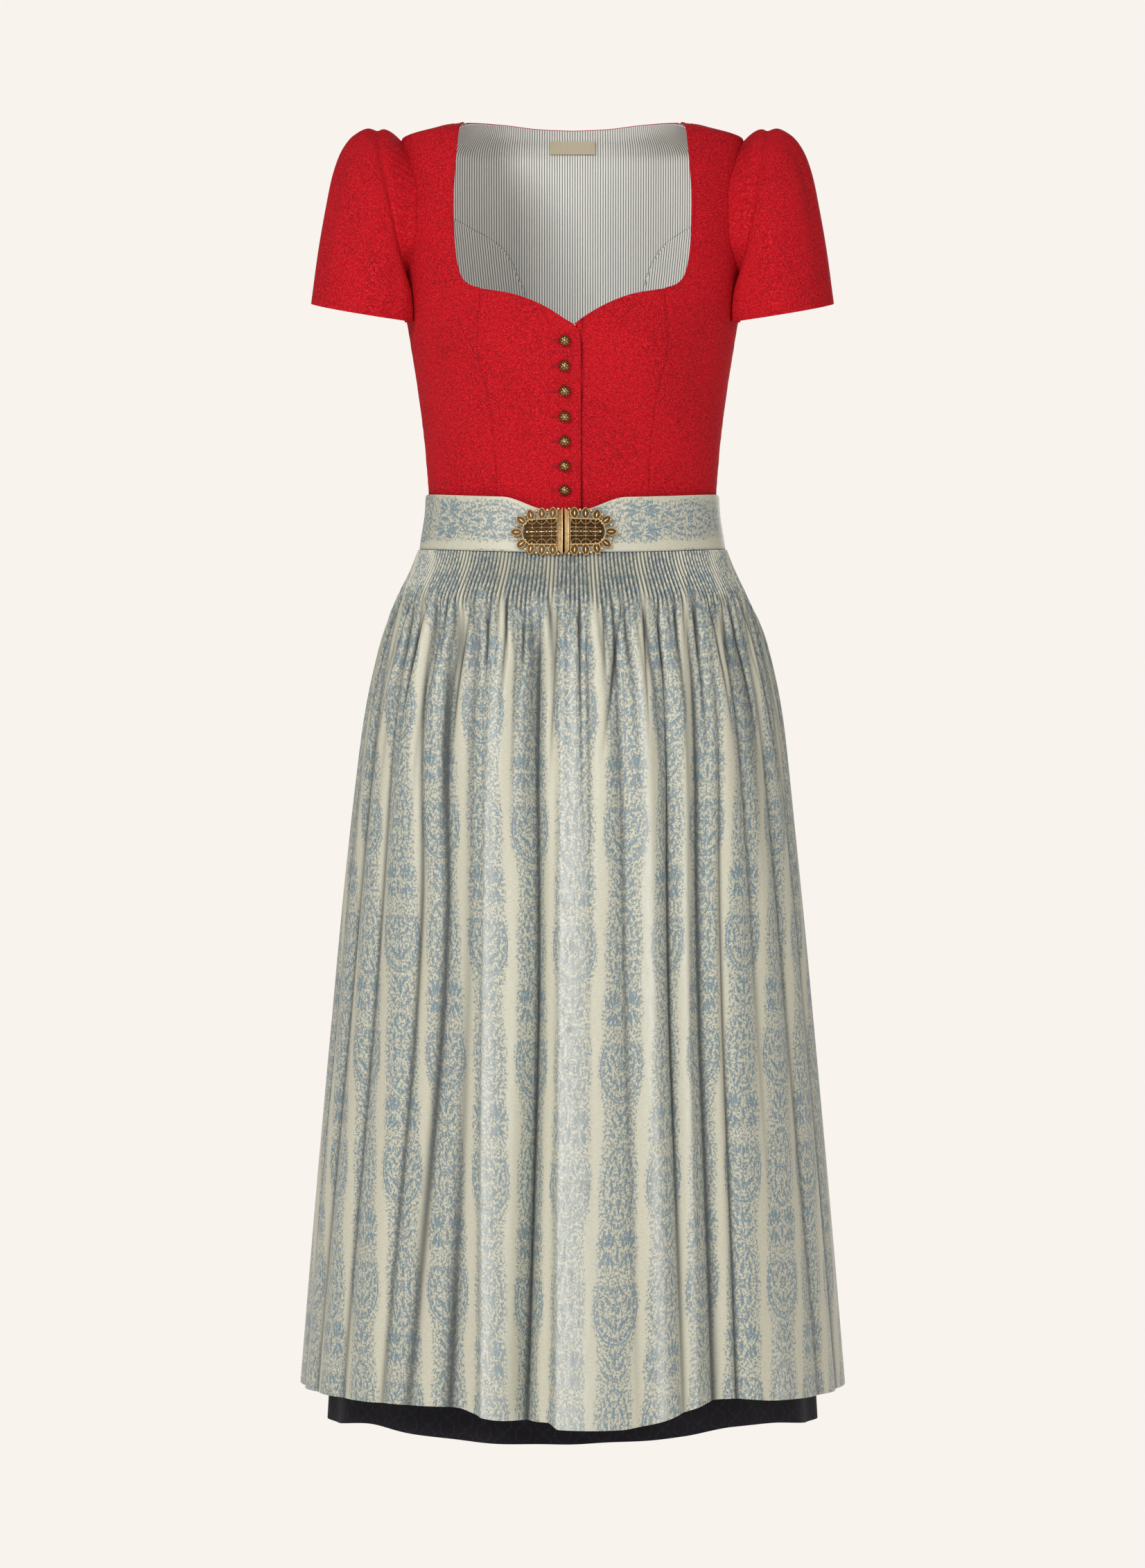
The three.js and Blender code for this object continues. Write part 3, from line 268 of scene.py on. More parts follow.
# %% [markdown]
# The lines of the cut are drawn as a cutter sees them, from the front or the back of one half.
# A line turns a share of its length, from 0 to 1, into an angle and a height. A panel is then a
# patch that is filled in from its four lines, so its threads follow its own seams.

# %% Lines of the cut
SEAM_GAP = 0.3
BODICE_WALL = 1.2
LINING_WALL = 1.0
SHOULDER_TIP = -18
UNDERARM = -150
WAIST = {"side": -350, "dip": 6}
BAND_TOP = {"side": -324, "dip": 9}
BAND_BOTTOM = {"side": -371, "dip": 8.5}
FINE = np.linspace(0, 1, 121)


def dipped(line, angle):
    """The height of a level line that lies lower at the front than at the sides."""
    return line["side"] - line["dip"] * np.maximum(0, np.cos(np.radians(angle))) ** 1.5


def cut_line(rows, hand, behind=False):
    xs = np.array([row[0] for row in rows], float)
    heights = np.array([row[1] for row in rows], float)
    run = np.concatenate([[0], np.cumsum(np.hypot(np.diff(xs), np.diff(heights)))])
    marks = table("run x height", *zip(run, xs, heights))
    height = smooth_column(marks, "run", "height")(FINE * run[-1])
    turn = torso.angle_of(smooth_column(marks, "run", "x")(FINE * run[-1]), height)
    angle = hand * (180 - turn if behind else turn)
    shares = run_of(torso.at(angle, height))
    return lambda share: np.stack(
        [np.interp(share, shares, angle), np.interp(share, shares, height)], -1
    )


def joined(corners, lines):
    """Several lines one after another, with a corner at each share named."""
    bounds = [0, *corners, 1]

    def line(share):
        share = np.asarray(share, float)
        spots = np.zeros(share.shape + (2,))
        for i, part in enumerate(lines):
            here = (share > bounds[i]) | (i == 0)
            here &= share <= bounds[i + 1]
            spots[here] = part((share[here] - bounds[i]) / (bounds[i + 1] - bounds[i]))
        return spots

    return line


def aside(line, distance):
    """A line moved to its right, as one looks along it, by a distance on the body."""

    def moved(share):
        share = np.asarray(share, float)
        spot = line(share)
        step = line(np.minimum(1, share + 0.01)) - line(np.maximum(0, share - 0.01))
        half = np.array([0.5, 0])
        wide = torso.at(*np.moveaxis(spot + half, -1, 0)) - torso.at(*np.moveaxis(spot - half, -1, 0))
        degree = np.linalg.norm(wide, axis=-1)
        across = step[..., 0] * degree
        rise = step[..., 1]
        part = distance / np.hypot(across, rise)
        return spot + np.stack([part * rise / degree, -part * across], -1)

    return moved


def backwards(line):
    return lambda share: line(1 - np.asarray(share, float))


def straight(start, end):
    start, end = np.array(start, float), np.array(end, float)
    return lambda share: mix(start, end, np.asarray(share, float)[..., None])


def waistline(start, end):
    def line(share):
        angle = mix(start, end, np.asarray(share, float))
        return np.stack([angle, dipped(WAIST, angle)], -1)

    return line


def pin_ends(line, start, end):
    """Makes an edge meet the edges at its two ends exactly."""

    def pinned(share):
        part = np.asarray(share, float)[..., None]
        return line(share) + mix(start - line(0.0), end - line(1.0), part)

    return pinned


def patch(edges):
    """A four-sided patch of cloth, filled in from its edges."""
    left, right, bottom, top = (edges[name] for name in ("left", "right", "bottom", "top"))

    def place(across, up):
        wide = across[..., None]
        high = up[..., None]
        low = mix(left(0.0), right(0.0), wide)
        upper = mix(left(1.0), right(1.0), wide)
        level = mix(bottom(across), top(across), high)
        return level + mix(left(up), right(up), wide) - mix(low, upper, high)

    return place


# %% [markdown]
# A sheet of cloth starts as a flat grid, the plainest create shape there is. Every vertex is then
# moved to its place on the body, and its place in the flat cloth is kept in a UV map called
# thread, in millimetres. All the weaves and figures are drawn on that map, so they run with the
# cloth and not with the room. A seamed or pleated sheet also keeps, in an attribute called valley,
# painted shade for each thread that lies in a valley or beside a seam, where little light comes,
# and on the apron painted highlight on a crest. Solidify gives the sheet its wall.

# %% Cloth from a grid
SHARP = math.radians(75)
CUTS = {}


def finished(name, mesh, finishes, sharp=SHARP):
    """Turns a bmesh into a smooth object with its finishes."""
    data = bpy.data.meshes.new(name)
    mesh.to_mesh(data)
    mesh.free()
    piece = bpy.data.objects.new(name, data)
    bpy.context.scene.collection.objects.link(piece)
    for finish in finishes:
        data.materials.append(finish)
    data.shade_smooth()
    data.set_sharp_from_angle(angle=sharp)
    return piece


def walled(piece, wall, inner_finish):
    """Gives a sheet its thickness inwards, and keeps the edges of the wall crisp."""
    thick = piece.modifiers.new("wall", "SOLIDIFY")
    thick.thickness = wall * MM
    thick.offset = -1
    thick.material_offset = inner_finish
    thick.material_offset_rim = 0
    graph = bpy.context.evaluated_depsgraph_get()
    data = bpy.data.meshes.new_from_object(piece.evaluated_get(graph))
    piece.modifiers.clear()
    piece.data = data
    data.shade_smooth()
    data.set_sharp_from_angle(angle=SHARP)


def flat_area(faces, threads):
    """The area of the cloth laid flat, as its threads lie and not as it is worn."""
    spots = threads[[[vert.index for vert in face.verts] for face in faces]] * MM
    x, y = spots[..., 0], spots[..., 1]
    turned = x * np.roll(y, -1, axis=1) - y * np.roll(x, -1, axis=1)
    return float(np.abs(turned.sum(axis=1)).sum() / 2)


def cloth(name, columns, rows, place, thread, wall, finishes, tube=False, valleys=None):
    """A sheet whose place is a function of two lists of shares: across it, and up it."""
    mesh = bmesh.new()
    painted_shading_layer = mesh.verts.layers.float.new("valley")
    bmesh.ops.create_grid(
        mesh, x_segments=len(columns) - 1, y_segments=len(rows) - 1, size=0.5
    )
    share = np.array([vert.co[:2] for vert in mesh.verts]) + 0.5
    across = np.interp(share[:, 0] * (len(columns) - 1), np.arange(len(columns)), columns)
    up = np.interp(np.round(share[:, 1] * (len(rows) - 1)), np.arange(len(rows)), rows)
    points = place(across, up) * MM
    threads = thread(across, up)
    for vert, point in zip(mesh.verts, points):
        vert.co = point
    # The valley attribute is painted shade, and on the apron painted highlight where it is below 0.
    if valleys is not None:
        for vert, depth in zip(mesh.verts, valleys(across, up)):
            vert[painted_shading_layer] = float(depth)
    layer = mesh.loops.layers.uv.new("thread")
    for face in mesh.faces:
        for loop in face.loops:
            loop[layer].uv = threads[loop.vert.index]
    worn = sum(face.calc_area() for face in mesh.faces)
    flat = flat_area(mesh.faces, threads)
    width, length = np.ptp(threads, axis=0) * MM
    CUTS[name] = {"flat": (width, length), "area": min(flat, width * length)}
    if tube:
        bmesh.ops.remove_doubles(mesh, verts=mesh.verts, dist=0.01 * MM)
    piece = finished(name, mesh, finishes)
    walled(piece, wall, len(finishes) - 1)
    print(f"{name}: {len(piece.data.polygons)} faces, cut {width:.3f} x {length:.3f} m,",
          f"{flat:.4f} m2 flat, {worn / flat:.3f} of that as worn")
    return piece


def dress(piece, nodes):
    """A piece that stands for its CAD nodes and hangs on the one body."""
    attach(piece, "root")
    if nodes:
        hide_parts(*nodes)
    return piece


# %% [markdown]
# Materials are small networks. The class below lets one write them as plain sums: maths on a
# wire adds Math nodes, and any other node comes from one method, which sets the node up first
# and then links or fills its sockets.

# %% Shader maths
class Wire:
    """A value on its way through a material."""

    def __init__(self, tree, socket):
        self.tree = tree
        self.socket = socket

    def node(self, kind, settings, inputs, output=0):
        made = self.tree.nodes.new("ShaderNode" + kind)
        for name, value in settings.items():
            if name == "stops":
                elements = made.color_ramp.elements
                while len(elements) < len(value):
                    elements.new(1)
                for element, (position, colour) in zip(elements, value):
                    element.position = position
                    element.color = (*colour, 1)
            else:
                setattr(made, name, value)
        for name, value in inputs.items():
            socket = made.inputs[name]
            if isinstance(value, Wire):
                self.tree.links.new(value.socket, socket)
            elif hasattr(value, "__len__") and len(value) == 3 and socket.type == "RGBA":
                socket.default_value = (*value, 1)
            else:
                socket.default_value = value
        return Wire(self.tree, made.outputs[output])

    def maths(self, operation, *others):
        return self.node("Math", {"operation": operation}, dict(enumerate((self, *others))))

    def turned(self, operation, other):
        return self.node("Math", {"operation": operation}, {0: other, 1: self})

    def __add__(self, other):
        return self.maths("ADD", other)

    def __sub__(self, other):
        return self.maths("SUBTRACT", other)

    def __rsub__(self, other):
        return self.turned("SUBTRACT", other)

    def __mul__(self, other):
        return self.maths("MULTIPLY", other)

    def __truediv__(self, other):
        return self.maths("DIVIDE", other)

    def __rtruediv__(self, other):
        return self.turned("DIVIDE", other)

    def __pow__(self, other):
        return self.maths("POWER", other)

    def __abs__(self):
        return self.maths("ABSOLUTE")

    def __neg__(self):
        return self * -1.0

    __radd__ = __add__
    __rmul__ = __mul__


def most(*values):
    """The highest of several masks."""
    top = values[0]
    for value in values[1:]:
        top = top.maths("MAXIMUM", value)
    return top


def within(value, limit, soft):
    """1 where a value is under a limit, and 0 past it, with a soft edge."""
    inputs = {"Value": value, "From Min": limit - soft, "From Max": limit + soft}
    return 1 - value.node("MapRange", {"interpolation_type": "SMOOTHSTEP"}, inputs)


def wave(value, pitch, start=0.0):
    """A wave from -1 to 1 that comes back after each pitch."""
    return (value * (2 * math.pi / pitch) + start).maths("SINE")


def blend(mask, low, high):
    """One colour where a mask is 0 and another where it is 1."""
    return mask.node("Mix", {"data_type": "RGBA"}, {0: mask, 6: low, 7: high}, output=2)


def noise(vector, scale, detail=2.0, rough=0.5):
    inputs = {"Vector": vector, "Scale": scale, "Detail": detail, "Roughness": rough}
    return vector.node("TexNoise", {}, inputs)


def stretched(vector, across, along):
    """A place on the cloth with its two directions scaled on their own."""
    inputs = {0: vector, 1: (across, along, 1)}
    return vector.node("VectorMath", {"operation": "MULTIPLY"}, inputs)


def new_finish(name):
    """An empty material: its two shader nodes and a wire to start from."""
    finish = bpy.data.materials.new(name)
    finish.use_nodes = True
    tree = finish.node_tree
    tree.nodes.clear()
    shader = tree.nodes.new("ShaderNodeBsdfPrincipled")
    output = tree.nodes.new("ShaderNodeOutputMaterial")
    tree.links.new(shader.outputs[0], output.inputs["Surface"])
    return finish, shader, Wire(tree, shader.outputs[0])


def on_thread(start):
    """The place in the flat cloth, in millimetres, whole and as its two parts."""
    thread = start.node("UVMap", {"uv_map": "thread"}, {})
    parts = start.tree.nodes.new("ShaderNodeSeparateXYZ")
    start.tree.links.new(thread.socket, parts.inputs[0])
    return thread, Wire(start.tree, parts.outputs[0]), Wire(start.tree, parts.outputs[1])


def feed(shader, tree, **sockets):
    """Sets a shader's sockets: a wire is linked, and a plain value is set."""
    for name, value in sockets.items():
        socket = shader.inputs[name.replace("_", " ")]
        if isinstance(value, Wire):
            tree.links.new(value.socket, socket)
        elif hasattr(value, "__len__"):
            socket.default_value = (*value, 1)
        else:
            socket.default_value = value


def bumped(height, distance, strength=1.0):
    inputs = {"Strength": strength, "Distance": distance * MM, "Height": height}
    return height.node("Bump", {}, inputs)


# %% [markdown]
# Motifs are drawn by formula on the flat cloth. A blossom is a circle whose edge is pushed in
# and out by a wave round its middle, a leaf is two arcs that meet at its tips, and an oval is a
# stretched circle. Each gives a mask, and the highest mask wins.

# %% Motifs
EDGE = 0.35


def blossom(x, y, at_x, at_y, radius, petals):
    off_x = x - at_x
    off_y = y - at_y
    far = (off_x * off_x + off_y * off_y) ** 0.5
    turn = off_y.maths("ARCTAN2", off_x)
    reach = (turn * float(petals)).maths("COSINE") * (radius * 0.26) + radius * 0.74
    petal = within(far - reach, 0.0, EDGE)
    eye = within(abs(far - radius * 0.32), radius * 0.07, EDGE)
    return petal * (1 - eye)


def oval(x, y, at_x, at_y, half_width, half_height, line):
    off_x = (x - at_x) / half_width
    off_y = (y - at_y) / half_height
    far = ((off_x * off_x + off_y * off_y) ** 0.5 - 1) * half_width
    return within(abs(far), line, EDGE)


def leaf(x, y, at_x, at_y, half_length, half_width, degrees):
    turn = math.radians(degrees)
    off_x = x - at_x
    off_y = y - at_y
    along = (off_x * math.cos(turn) + off_y * math.sin(turn)) / half_length
    across = abs(off_y * math.cos(turn) - off_x * math.sin(turn))
    return within(across - (1 - along * along) * half_width, 0.0, EDGE)


FLOWER = "x y radius petals"
LEAF = "x y half_length half_width degrees"


def motif(x, y, flowers, leaves):
    """The highest of the masks of a motif's flowers and leaves."""
    return most(
        *[blossom(x, y, *row.values()) for row in flowers],
        *[leaf(x, y, *row.values()) for row in leaves],
    )


# %% [markdown]
# The bodice is a red jacquard: a fine linen-like weave with a small flower figure in the same
# red, which shows only as a change of gloss and a shade of colour. The ground is heathered, as
# single threads take the dye unevenly.

# %% Red jacquard
FIGURE_PITCH = {"across": 38.0, "along": 54.0}
SPRIG_FLOWERS = table(
    FLOWER,
    (0.0, 0.0, 5.0, 5), (12.5, 16.0, 3.6, 6), (12.0, -15.0, 3.0, 5),
)
SPRIG_LEAVES = table(
    LEAF,
    (7.0, 8.5, 4.6, 1.5, 52), (7.5, -7.0, 4.4, 1.4, -48), (3.0, 17.0, 5.2, 1.4, 100),
    (3.5, -19.0, 5.0, 1.4, 78), (16.0, 3.0, 4.4, 1.3, 110),
)


def red_jacquard():
    finish, shader, start = new_finish("red_jacquard")
    thread, across, along = on_thread(start)
    column = (across / FIGURE_PITCH["across"] + 0.5).maths("FLOOR")
    drop = abs(column.maths("MODULO", 2.0)) * (FIGURE_PITCH["along"] / 2)
    x = across.maths("PINGPONG", FIGURE_PITCH["across"] / 2)
    row = ((along + drop) / FIGURE_PITCH["along"] + 0.5).maths("FLOOR")
    y = along + drop - row * FIGURE_PITCH["along"]
    wander = noise(thread, 0.09, 1.0) - 0.5
    x = x + wander * 5.0
    y = y + (noise(thread, 0.07, 1.0) - 0.5) * 7.0
    figure = motif(x, y, SPRIG_FLOWERS, SPRIG_LEAVES)
    threads = noise(thread, 0.75, 3.0, 0.65)
    broken = within(0.51 - threads, 0.0, 0.05)
    scrolls = within(abs(noise(thread, 0.26, 2.0) - 0.5), 0.045, 0.02)
    clearer = within(noise(thread, 0.018, 1.0), 0.50, 0.10) * 0.50 + 0.50
    figure = most(figure * 0.95, scrolls * 0.85) * broken * clearer
    heather = noise(stretched(thread, 1.1, 0.40), 1.0, 3.0, 0.7)
    cross = noise(stretched(thread, 0.40, 1.1), 1.0, 3.0, 0.7)
    weave = heather * 0.5 + cross * 0.5
    ground = blend(weave.node("MapRange", {}, {"Value": weave, "From Min": 0.38, "From Max": 0.62}),
                   (0.34, 0.002, 0.008), (0.70, 0.008, 0.018))
    mottle = noise(thread, 0.33, 2.0, 0.6)
    mottle = mottle.node("MapRange", {}, {"Value": mottle, "From Min": 0.42, "From Max": 0.60})
    ground = blend(mottle * 0.38, ground, (0.25, 0.001, 0.006))
    colour = blend(figure * 0.90, ground, (0.23, 0.001, 0.006))
    glint = within(0.60 - noise(thread, 0.9, 2.0, 0.6), 0.0, 0.05)
    colour = blend(glint * 0.42, colour, (0.80, 0.080, 0.075))
    # Painted shade: the valley attribute darkens the red along the seams and beside the edge that
    # lies over it.
    valley = start.node("Attribute", {"attribute_name": "valley"}, {}, output=2)
    colour = blend(valley * 0.85, colour, (0.075, 0.001, 0.003))
    relief = weave + figure * 0.35
    feed(
        shader, start.tree,
        Base_Color=colour,
        Roughness=0.88 - figure * 0.14,
        Normal=bumped(relief, 0.35),
        Specular_IOR_Level=0.12,
    )
    return finish


# %% [markdown]
# The lining is a white cotton with a fine grey stripe along its warp. The stripe is drawn on the
# thread map: one dark thread group in every pitch, with an edge that the weft breaks up a little.

# %% Striped cotton
STRIPE = {"pitch": 2.28, "dark": 0.36}


def striped_lining():
    finish, shader, start = new_finish("striped_lining")
    thread, across, along = on_thread(start)
    waver = (noise(stretched(thread, 0.3, 0.06), 1.0, 1.0) - 0.5) * 0.18
    off = (across + waver).maths("PINGPONG", STRIPE["pitch"] / 2)
    dark = within(off, STRIPE["dark"], 0.14)
    weft = wave(along, 0.8) * 0.5 + 0.5
    weave = noise(stretched(thread, 1.4, 0.5), 1.5, 2.0)
    ground = blend(weave, (0.84, 0.84, 0.78), (1.0, 1.0, 0.94))
    colour = blend(dark * (0.95 - weft * 0.12), ground, (0.045, 0.052, 0.065))
    feed(
        shader, start.tree,
        Base_Color=colour,
        Roughness=0.9,
        Normal=bumped(weave * 0.7 + dark * 0.3 + weft * 0.1, 0.25),
        Specular_IOR_Level=0.25,
    )
    return finish


# %% [markdown]
# The apron is a brocade: a greenish cream satin ground with columns of blue-grey figures, each
# the mirror image of itself. Every second column is dropped by half a repeat. A column swells
# into a large medallion under a pair of paisleys with striped tops, narrows to a spray, swells
# into a slimmer oval and narrows again. Its inside is broken into small flecks, where the figure
# weft shows for only a thread or two at a time, and its edges are as ragged as the threads.

# %% Brocade
COLUMN_PITCH = 47.0
REPEAT = 196.0
MEDALLION = {"half_width": 20.0, "half_height": 29.0}
SLIM_OVAL = {"half_width": 14.0, "half_height": 32.0}
SWELLS = table(
    "from_far at width swell",
    (False, 0.0, 24.0, 6.2),
    (False, 47.0, 15.0, 3.8),
    (True, 0.0, 26.0, 3.2),
)
STALK = 15.2
MEDALLION_FLOWERS = table(
    FLOWER,
    (0.0, 1.0, 5.2, 8), (9.0, 17.0, 2.6, 5),
)
MEDALLION_LEAVES = table(
    LEAF,
    (0.0, -13.0, 7.0, 1.5, 90), (4.6, -14.0, 6.0, 1.4, 64), (9.0, -10.0, 6.5, 1.4, 48),
    (12.4, 2.0, 6.5, 1.4, 78), (8.6, 7.0, 5.0, 1.3, 60), (0.0, 14.0, 6.0, 1.5, 90),
    (4.6, 14.0, 5.4, 1.3, 118),
)
PAISLEY_LEAVES = table(
    LEAF,
    (4.6, 55.0, 7.0, 1.6, 106), (8.2, 57.5, 8.0, 1.7, 94), (11.8, 57.0, 7.5, 1.7, 80),
    (15.0, 53.0, 6.0, 1.5, 66), (12.6, 41.0, 7.0, 1.9, 112), (8.6, 39.0, 6.5, 1.6, 96),
    (5.0, 38.0, 5.0, 1.3, 70), (0.0, 44.0, 7.0, 1.5, 90),
)
SPRAY_FLOWERS = table(
    FLOWER,
    (0.0, -57.0, 3.6, 6),
)
SPRAY_LEAVES = table(
    LEAF,
    (0.0, -42.0, 8.0, 1.7, 90), (4.6, -36.0, 5.5, 1.4, 58), (6.4, -45.0, 6.0, 1.5, 62),
    (7.4, -54.0, 5.5, 1.4, 54),
)
SLIM_FLOWERS = table(
    FLOWER,
    (0.0, 0.0, 4.6, 7),
)
SLIM_LEAVES = table(
    LEAF,
    (0.0, 14.0, 6.5, 1.5, 90), (6.8, 3.0, 5.5, 1.4, 74), (7.4, 14.0, 5.0, 1.3, 104),
    (4.4, 23.0, 5.0, 1.3, 70),
)


def soft_bell(value):
    return 1 / (value * value * value * value + 1.0)


def leafy_oval(x, y, half_width, half_height, line, leaves):
    """An oval line made of small leaves, with a gap between each two."""
    turn = (y / half_height).maths("ARCTAN2", x / half_width)
    gaps = within((turn * float(leaves)).maths("COSINE"), 0.55, 0.25)
    return oval(x, y, 0.0, 0.0, half_width, half_height, line) * gaps


def medallion(x, y):
    """The big oval: a double line that is open at its top, round a bunch of flowers."""
    closed = within(y, 19.0, 2.0)
    half_width, half_height = MEDALLION["half_width"], MEDALLION["half_height"]
    return most(
        oval(x, y, 0.0, 0.0, half_width, half_height, 0.60) * closed,
        leafy_oval(x, y, half_width - 2.6, half_height - 3.4, 1.10, 22) * closed,
        motif(x, y, MEDALLION_FLOWERS, MEDALLION_LEAVES),
    )


def paisleys(x, y):
    """A pair of drops, back to back, with a fan of dark stripes on top."""
    return motif(x, y, [], PAISLEY_LEAVES)


def sprays(x, y, far):
    """Leaves on a stem, which join one oval to the next."""
    return most(
        motif(x, y, SPRAY_FLOWERS, SPRAY_LEAVES),
        leafy_oval(x, far, SLIM_OVAL["half_width"], SLIM_OVAL["half_height"], 0.90, 26),
        motif(x, far, SLIM_FLOWERS, SLIM_LEAVES),
    )


def brocade(name, sideways):
    finish, shader, start = new_finish(name)
    thread, across, along = on_thread(start)
    if sideways:
        across, along = along - 3.0, across
    column = (across / COLUMN_PITCH + 0.5).maths("FLOOR")
    drop = abs(column.maths("MODULO", 2.0)) * (REPEAT / 2)
    x = across.maths("PINGPONG", COLUMN_PITCH / 2)
    row = ((along + drop) / REPEAT + 0.5).maths("FLOOR")
    y = along + drop - row * REPEAT
    x = x + (noise(thread, 0.30, 2.0) - 0.5) * 3.0
    y = y + (noise(thread, 0.27, 2.0) - 0.5) * 3.0
    far = REPEAT / 2 - abs(y)
    half_width = STALK
    for swell in SWELLS:
        off = (far if swell["from_far"] else y) - swell["at"]
        half_width = soft_bell(off / swell["width"]) * swell["swell"] + half_width
    body = within(x - half_width + (noise(thread, 0.42, 2.0) - 0.5) * 9.0, 0.0, 1.2)
    figures = most(medallion(x, y), paisleys(x, y), sprays(x, y, far))
    threads = noise(stretched(thread, 1.0, 0.75), 0.50, 4.0, 0.7)
    broken = within(0.43 - threads, 0.0, 0.02)
    flecks = within(0.53 - threads, 0.0, 0.015)
    figure = most(figures * broken * within(x - half_width, 4.0, 1.0), body * flecks * 0.88)
    slub = noise(stretched(thread, 0.22, 1.8), 1.0, 2.0)
    grain = noise(stretched(thread, 1.8, 0.5), 1.2, 2.0)
    ground = blend(slub * 0.6 + grain * 0.4, (0.31, 0.302, 0.212), (0.82, 0.800, 0.650))
    blue = blend(noise(thread, 0.9, 2.0), (0.040, 0.105, 0.160), (0.185, 0.300, 0.365))
    # Pale flecks painted into the figures, as glints of light.
    silver_glint = within(0.60 - noise(thread, 1.2, 1.0), 0.0, 0.05)
    blue = blend(silver_glint * 0.45, blue, (0.70, 0.74, 0.74))
    colour = blend(figure * 0.92, ground, blue)
    # Painted light: the valley attribute darkens the cloth in valleys as painted shade, and where it
    # is below 0 pale streaks are painted on the crests as painted highlight.
    depth = start.node("Attribute", {"attribute_name": "valley"}, {}, output=2)
    valley = depth.maths("MAXIMUM", 0.0)
    crest = (-depth).maths("MAXIMUM", 0.0) * noise(stretched(thread, 0.5, 0.12), 0.5, 2.0) * 1.5
    colour = blend(crest.maths("MINIMUM", 0.8), colour, (0.80, 0.82, 0.76))
    colour = blend(valley * 0.88, colour, (0.036, 0.044, 0.046))
    relief = slub * 0.4 + grain * 0.3 + figure * 0.5
    feed(
        shader, start.tree,
        Base_Color=colour,
        Roughness=0.36 - figure * 0.06 + grain * 0.12 + valley * 0.4,
        Normal=bumped(relief, 0.42),
        Specular_IOR_Level=0.7,
        Sheen_Weight=0.10,
        Sheen_Roughness=0.35,
    )
    return finish


# %% [markdown]
# The skirt is a near-black cloth with a tiny bluish flower figure that one sees only close to.
# The label is a smooth cream tape, and the sewing thread is a plain matt twist.

# %% Dark skirt cloth, tape and thread
FLOWER_PITCH = 17.0


def dark_cloth():
    finish, shader, start = new_finish("dark_skirt_cloth")
    thread, across, along = on_thread(start)
    column = (across / FLOWER_PITCH + 0.5).maths("FLOOR")
    drop = abs(column.maths("MODULO", 2.0)) * (FLOWER_PITCH / 2)
    x = across.maths("PINGPONG", FLOWER_PITCH / 2) + (noise(thread, 0.3, 1.0) - 0.5) * 3.0
    y = (along + drop).maths("PINGPONG", FLOWER_PITCH / 2) + (noise(thread, 0.27, 1.0) - 0.5) * 3.0
    figure = most(
        blossom(x, y, 0.0, 0.0, 2.6, 5),
        leaf(x, y, 4.5, 3.5, 2.8, 0.7, 40),
        leaf(x, y, 6.5, 7.0, 2.2, 0.6, 100),
    )
    weave = noise(stretched(thread, 1.2, 0.5), 1.4, 2.0)
    ground = blend(weave, (0.0035, 0.0028, 0.0050), (0.0100, 0.0080, 0.0130))
    colour = blend(figure * (noise(thread, 0.5, 2.0) * 0.9), ground, (0.022, 0.032, 0.052))
    feed(
        shader, start.tree,
        Base_Color=colour,
        Roughness=0.72,
        Normal=bumped(weave, 0.3),
        Specular_IOR_Level=0.25,
    )
    return finish


def label_tape():
    finish, shader, start = new_finish("label_tape")
    thread, across, along = on_thread(start)
    rib = wave(across, 0.7) * 0.5 + 0.5
    grain = noise(stretched(thread, 0.5, 2.0), 1.0, 2.0)
    colour = blend(grain * 0.7 + rib * 0.3, (0.56, 0.50, 0.34), (0.74, 0.68, 0.50))
    feed(
        shader, start.tree,
        Base_Color=colour,
        Roughness=0.62,
        Normal=bumped(rib + grain * 0.5, 0.12),
        Specular_IOR_Level=0.4,
    )
    return finish


def sewing_thread(name, colour):
    finish, shader, start = new_finish(name)
    place = start.node("TexCoord", {}, {}, output=3)
    twist = noise(place, 2600.0, 1.0)
    feed(
        shader, start.tree,
        Base_Color=blend(twist, tuple(part * 0.75 for part in colour), colour),
        Roughness=0.75,
        Normal=bumped(twist, 0.05),
        Specular_IOR_Level=0.3,
    )
    return finish


# %% [markdown]
# The metal is antique brass: dark in its recesses, where the brown patina stays, and rubbed
# bright where hands and cloth touch it. Each metal piece carries an attribute called rubbed,
# which says how far a vertex stands out. It drives the colour and the gloss together.

# %% Antique brass
def aged_brass():
    finish, shader, start = new_finish("aged_brass")
    place = start.node("TexCoord", {}, {}, output=3)
    rubbed = start.node("Attribute", {"attribute_name": "rubbed"}, {}, output=2)
    patches = noise(place, 900.0, 3.0)
    specks = noise(place, 3200.0, 2.0)
    high = rubbed + (patches - 0.5) * 0.7
    stops = [
        (0.0, (0.045, 0.024, 0.010)),
        (0.40, (0.140, 0.078, 0.030)),
        (0.70, (0.420, 0.260, 0.110)),
        (1.0, (0.820, 0.620, 0.340)),
    ]
    colour = start.node("ValToRGB", {"stops": stops}, {0: high})
    feed(
        shader, start.tree,
        Base_Color=colour,
        Metallic=1.0,
        Roughness=0.50 - rubbed * 0.22 + specks * 0.10,
        Normal=bumped(patches * 0.6 + specks * 0.4, 0.08),
    )
    return finish


RED = red_jacquard()
STRIPES = striped_lining()
APRON_BROCADE = brocade("apron_brocade", sideways=False)
BAND_BROCADE = brocade("band_brocade", sideways=True)
DARK = dark_cloth()
TAPE = label_tape()
RED_THREAD = sewing_thread("red_thread", (0.42, 0.006, 0.014))
GREY_THREAD = sewing_thread("grey_thread", (0.045, 0.050, 0.060))
BRASS = aged_brass()
print("finishes made:", len(bpy.data.materials))
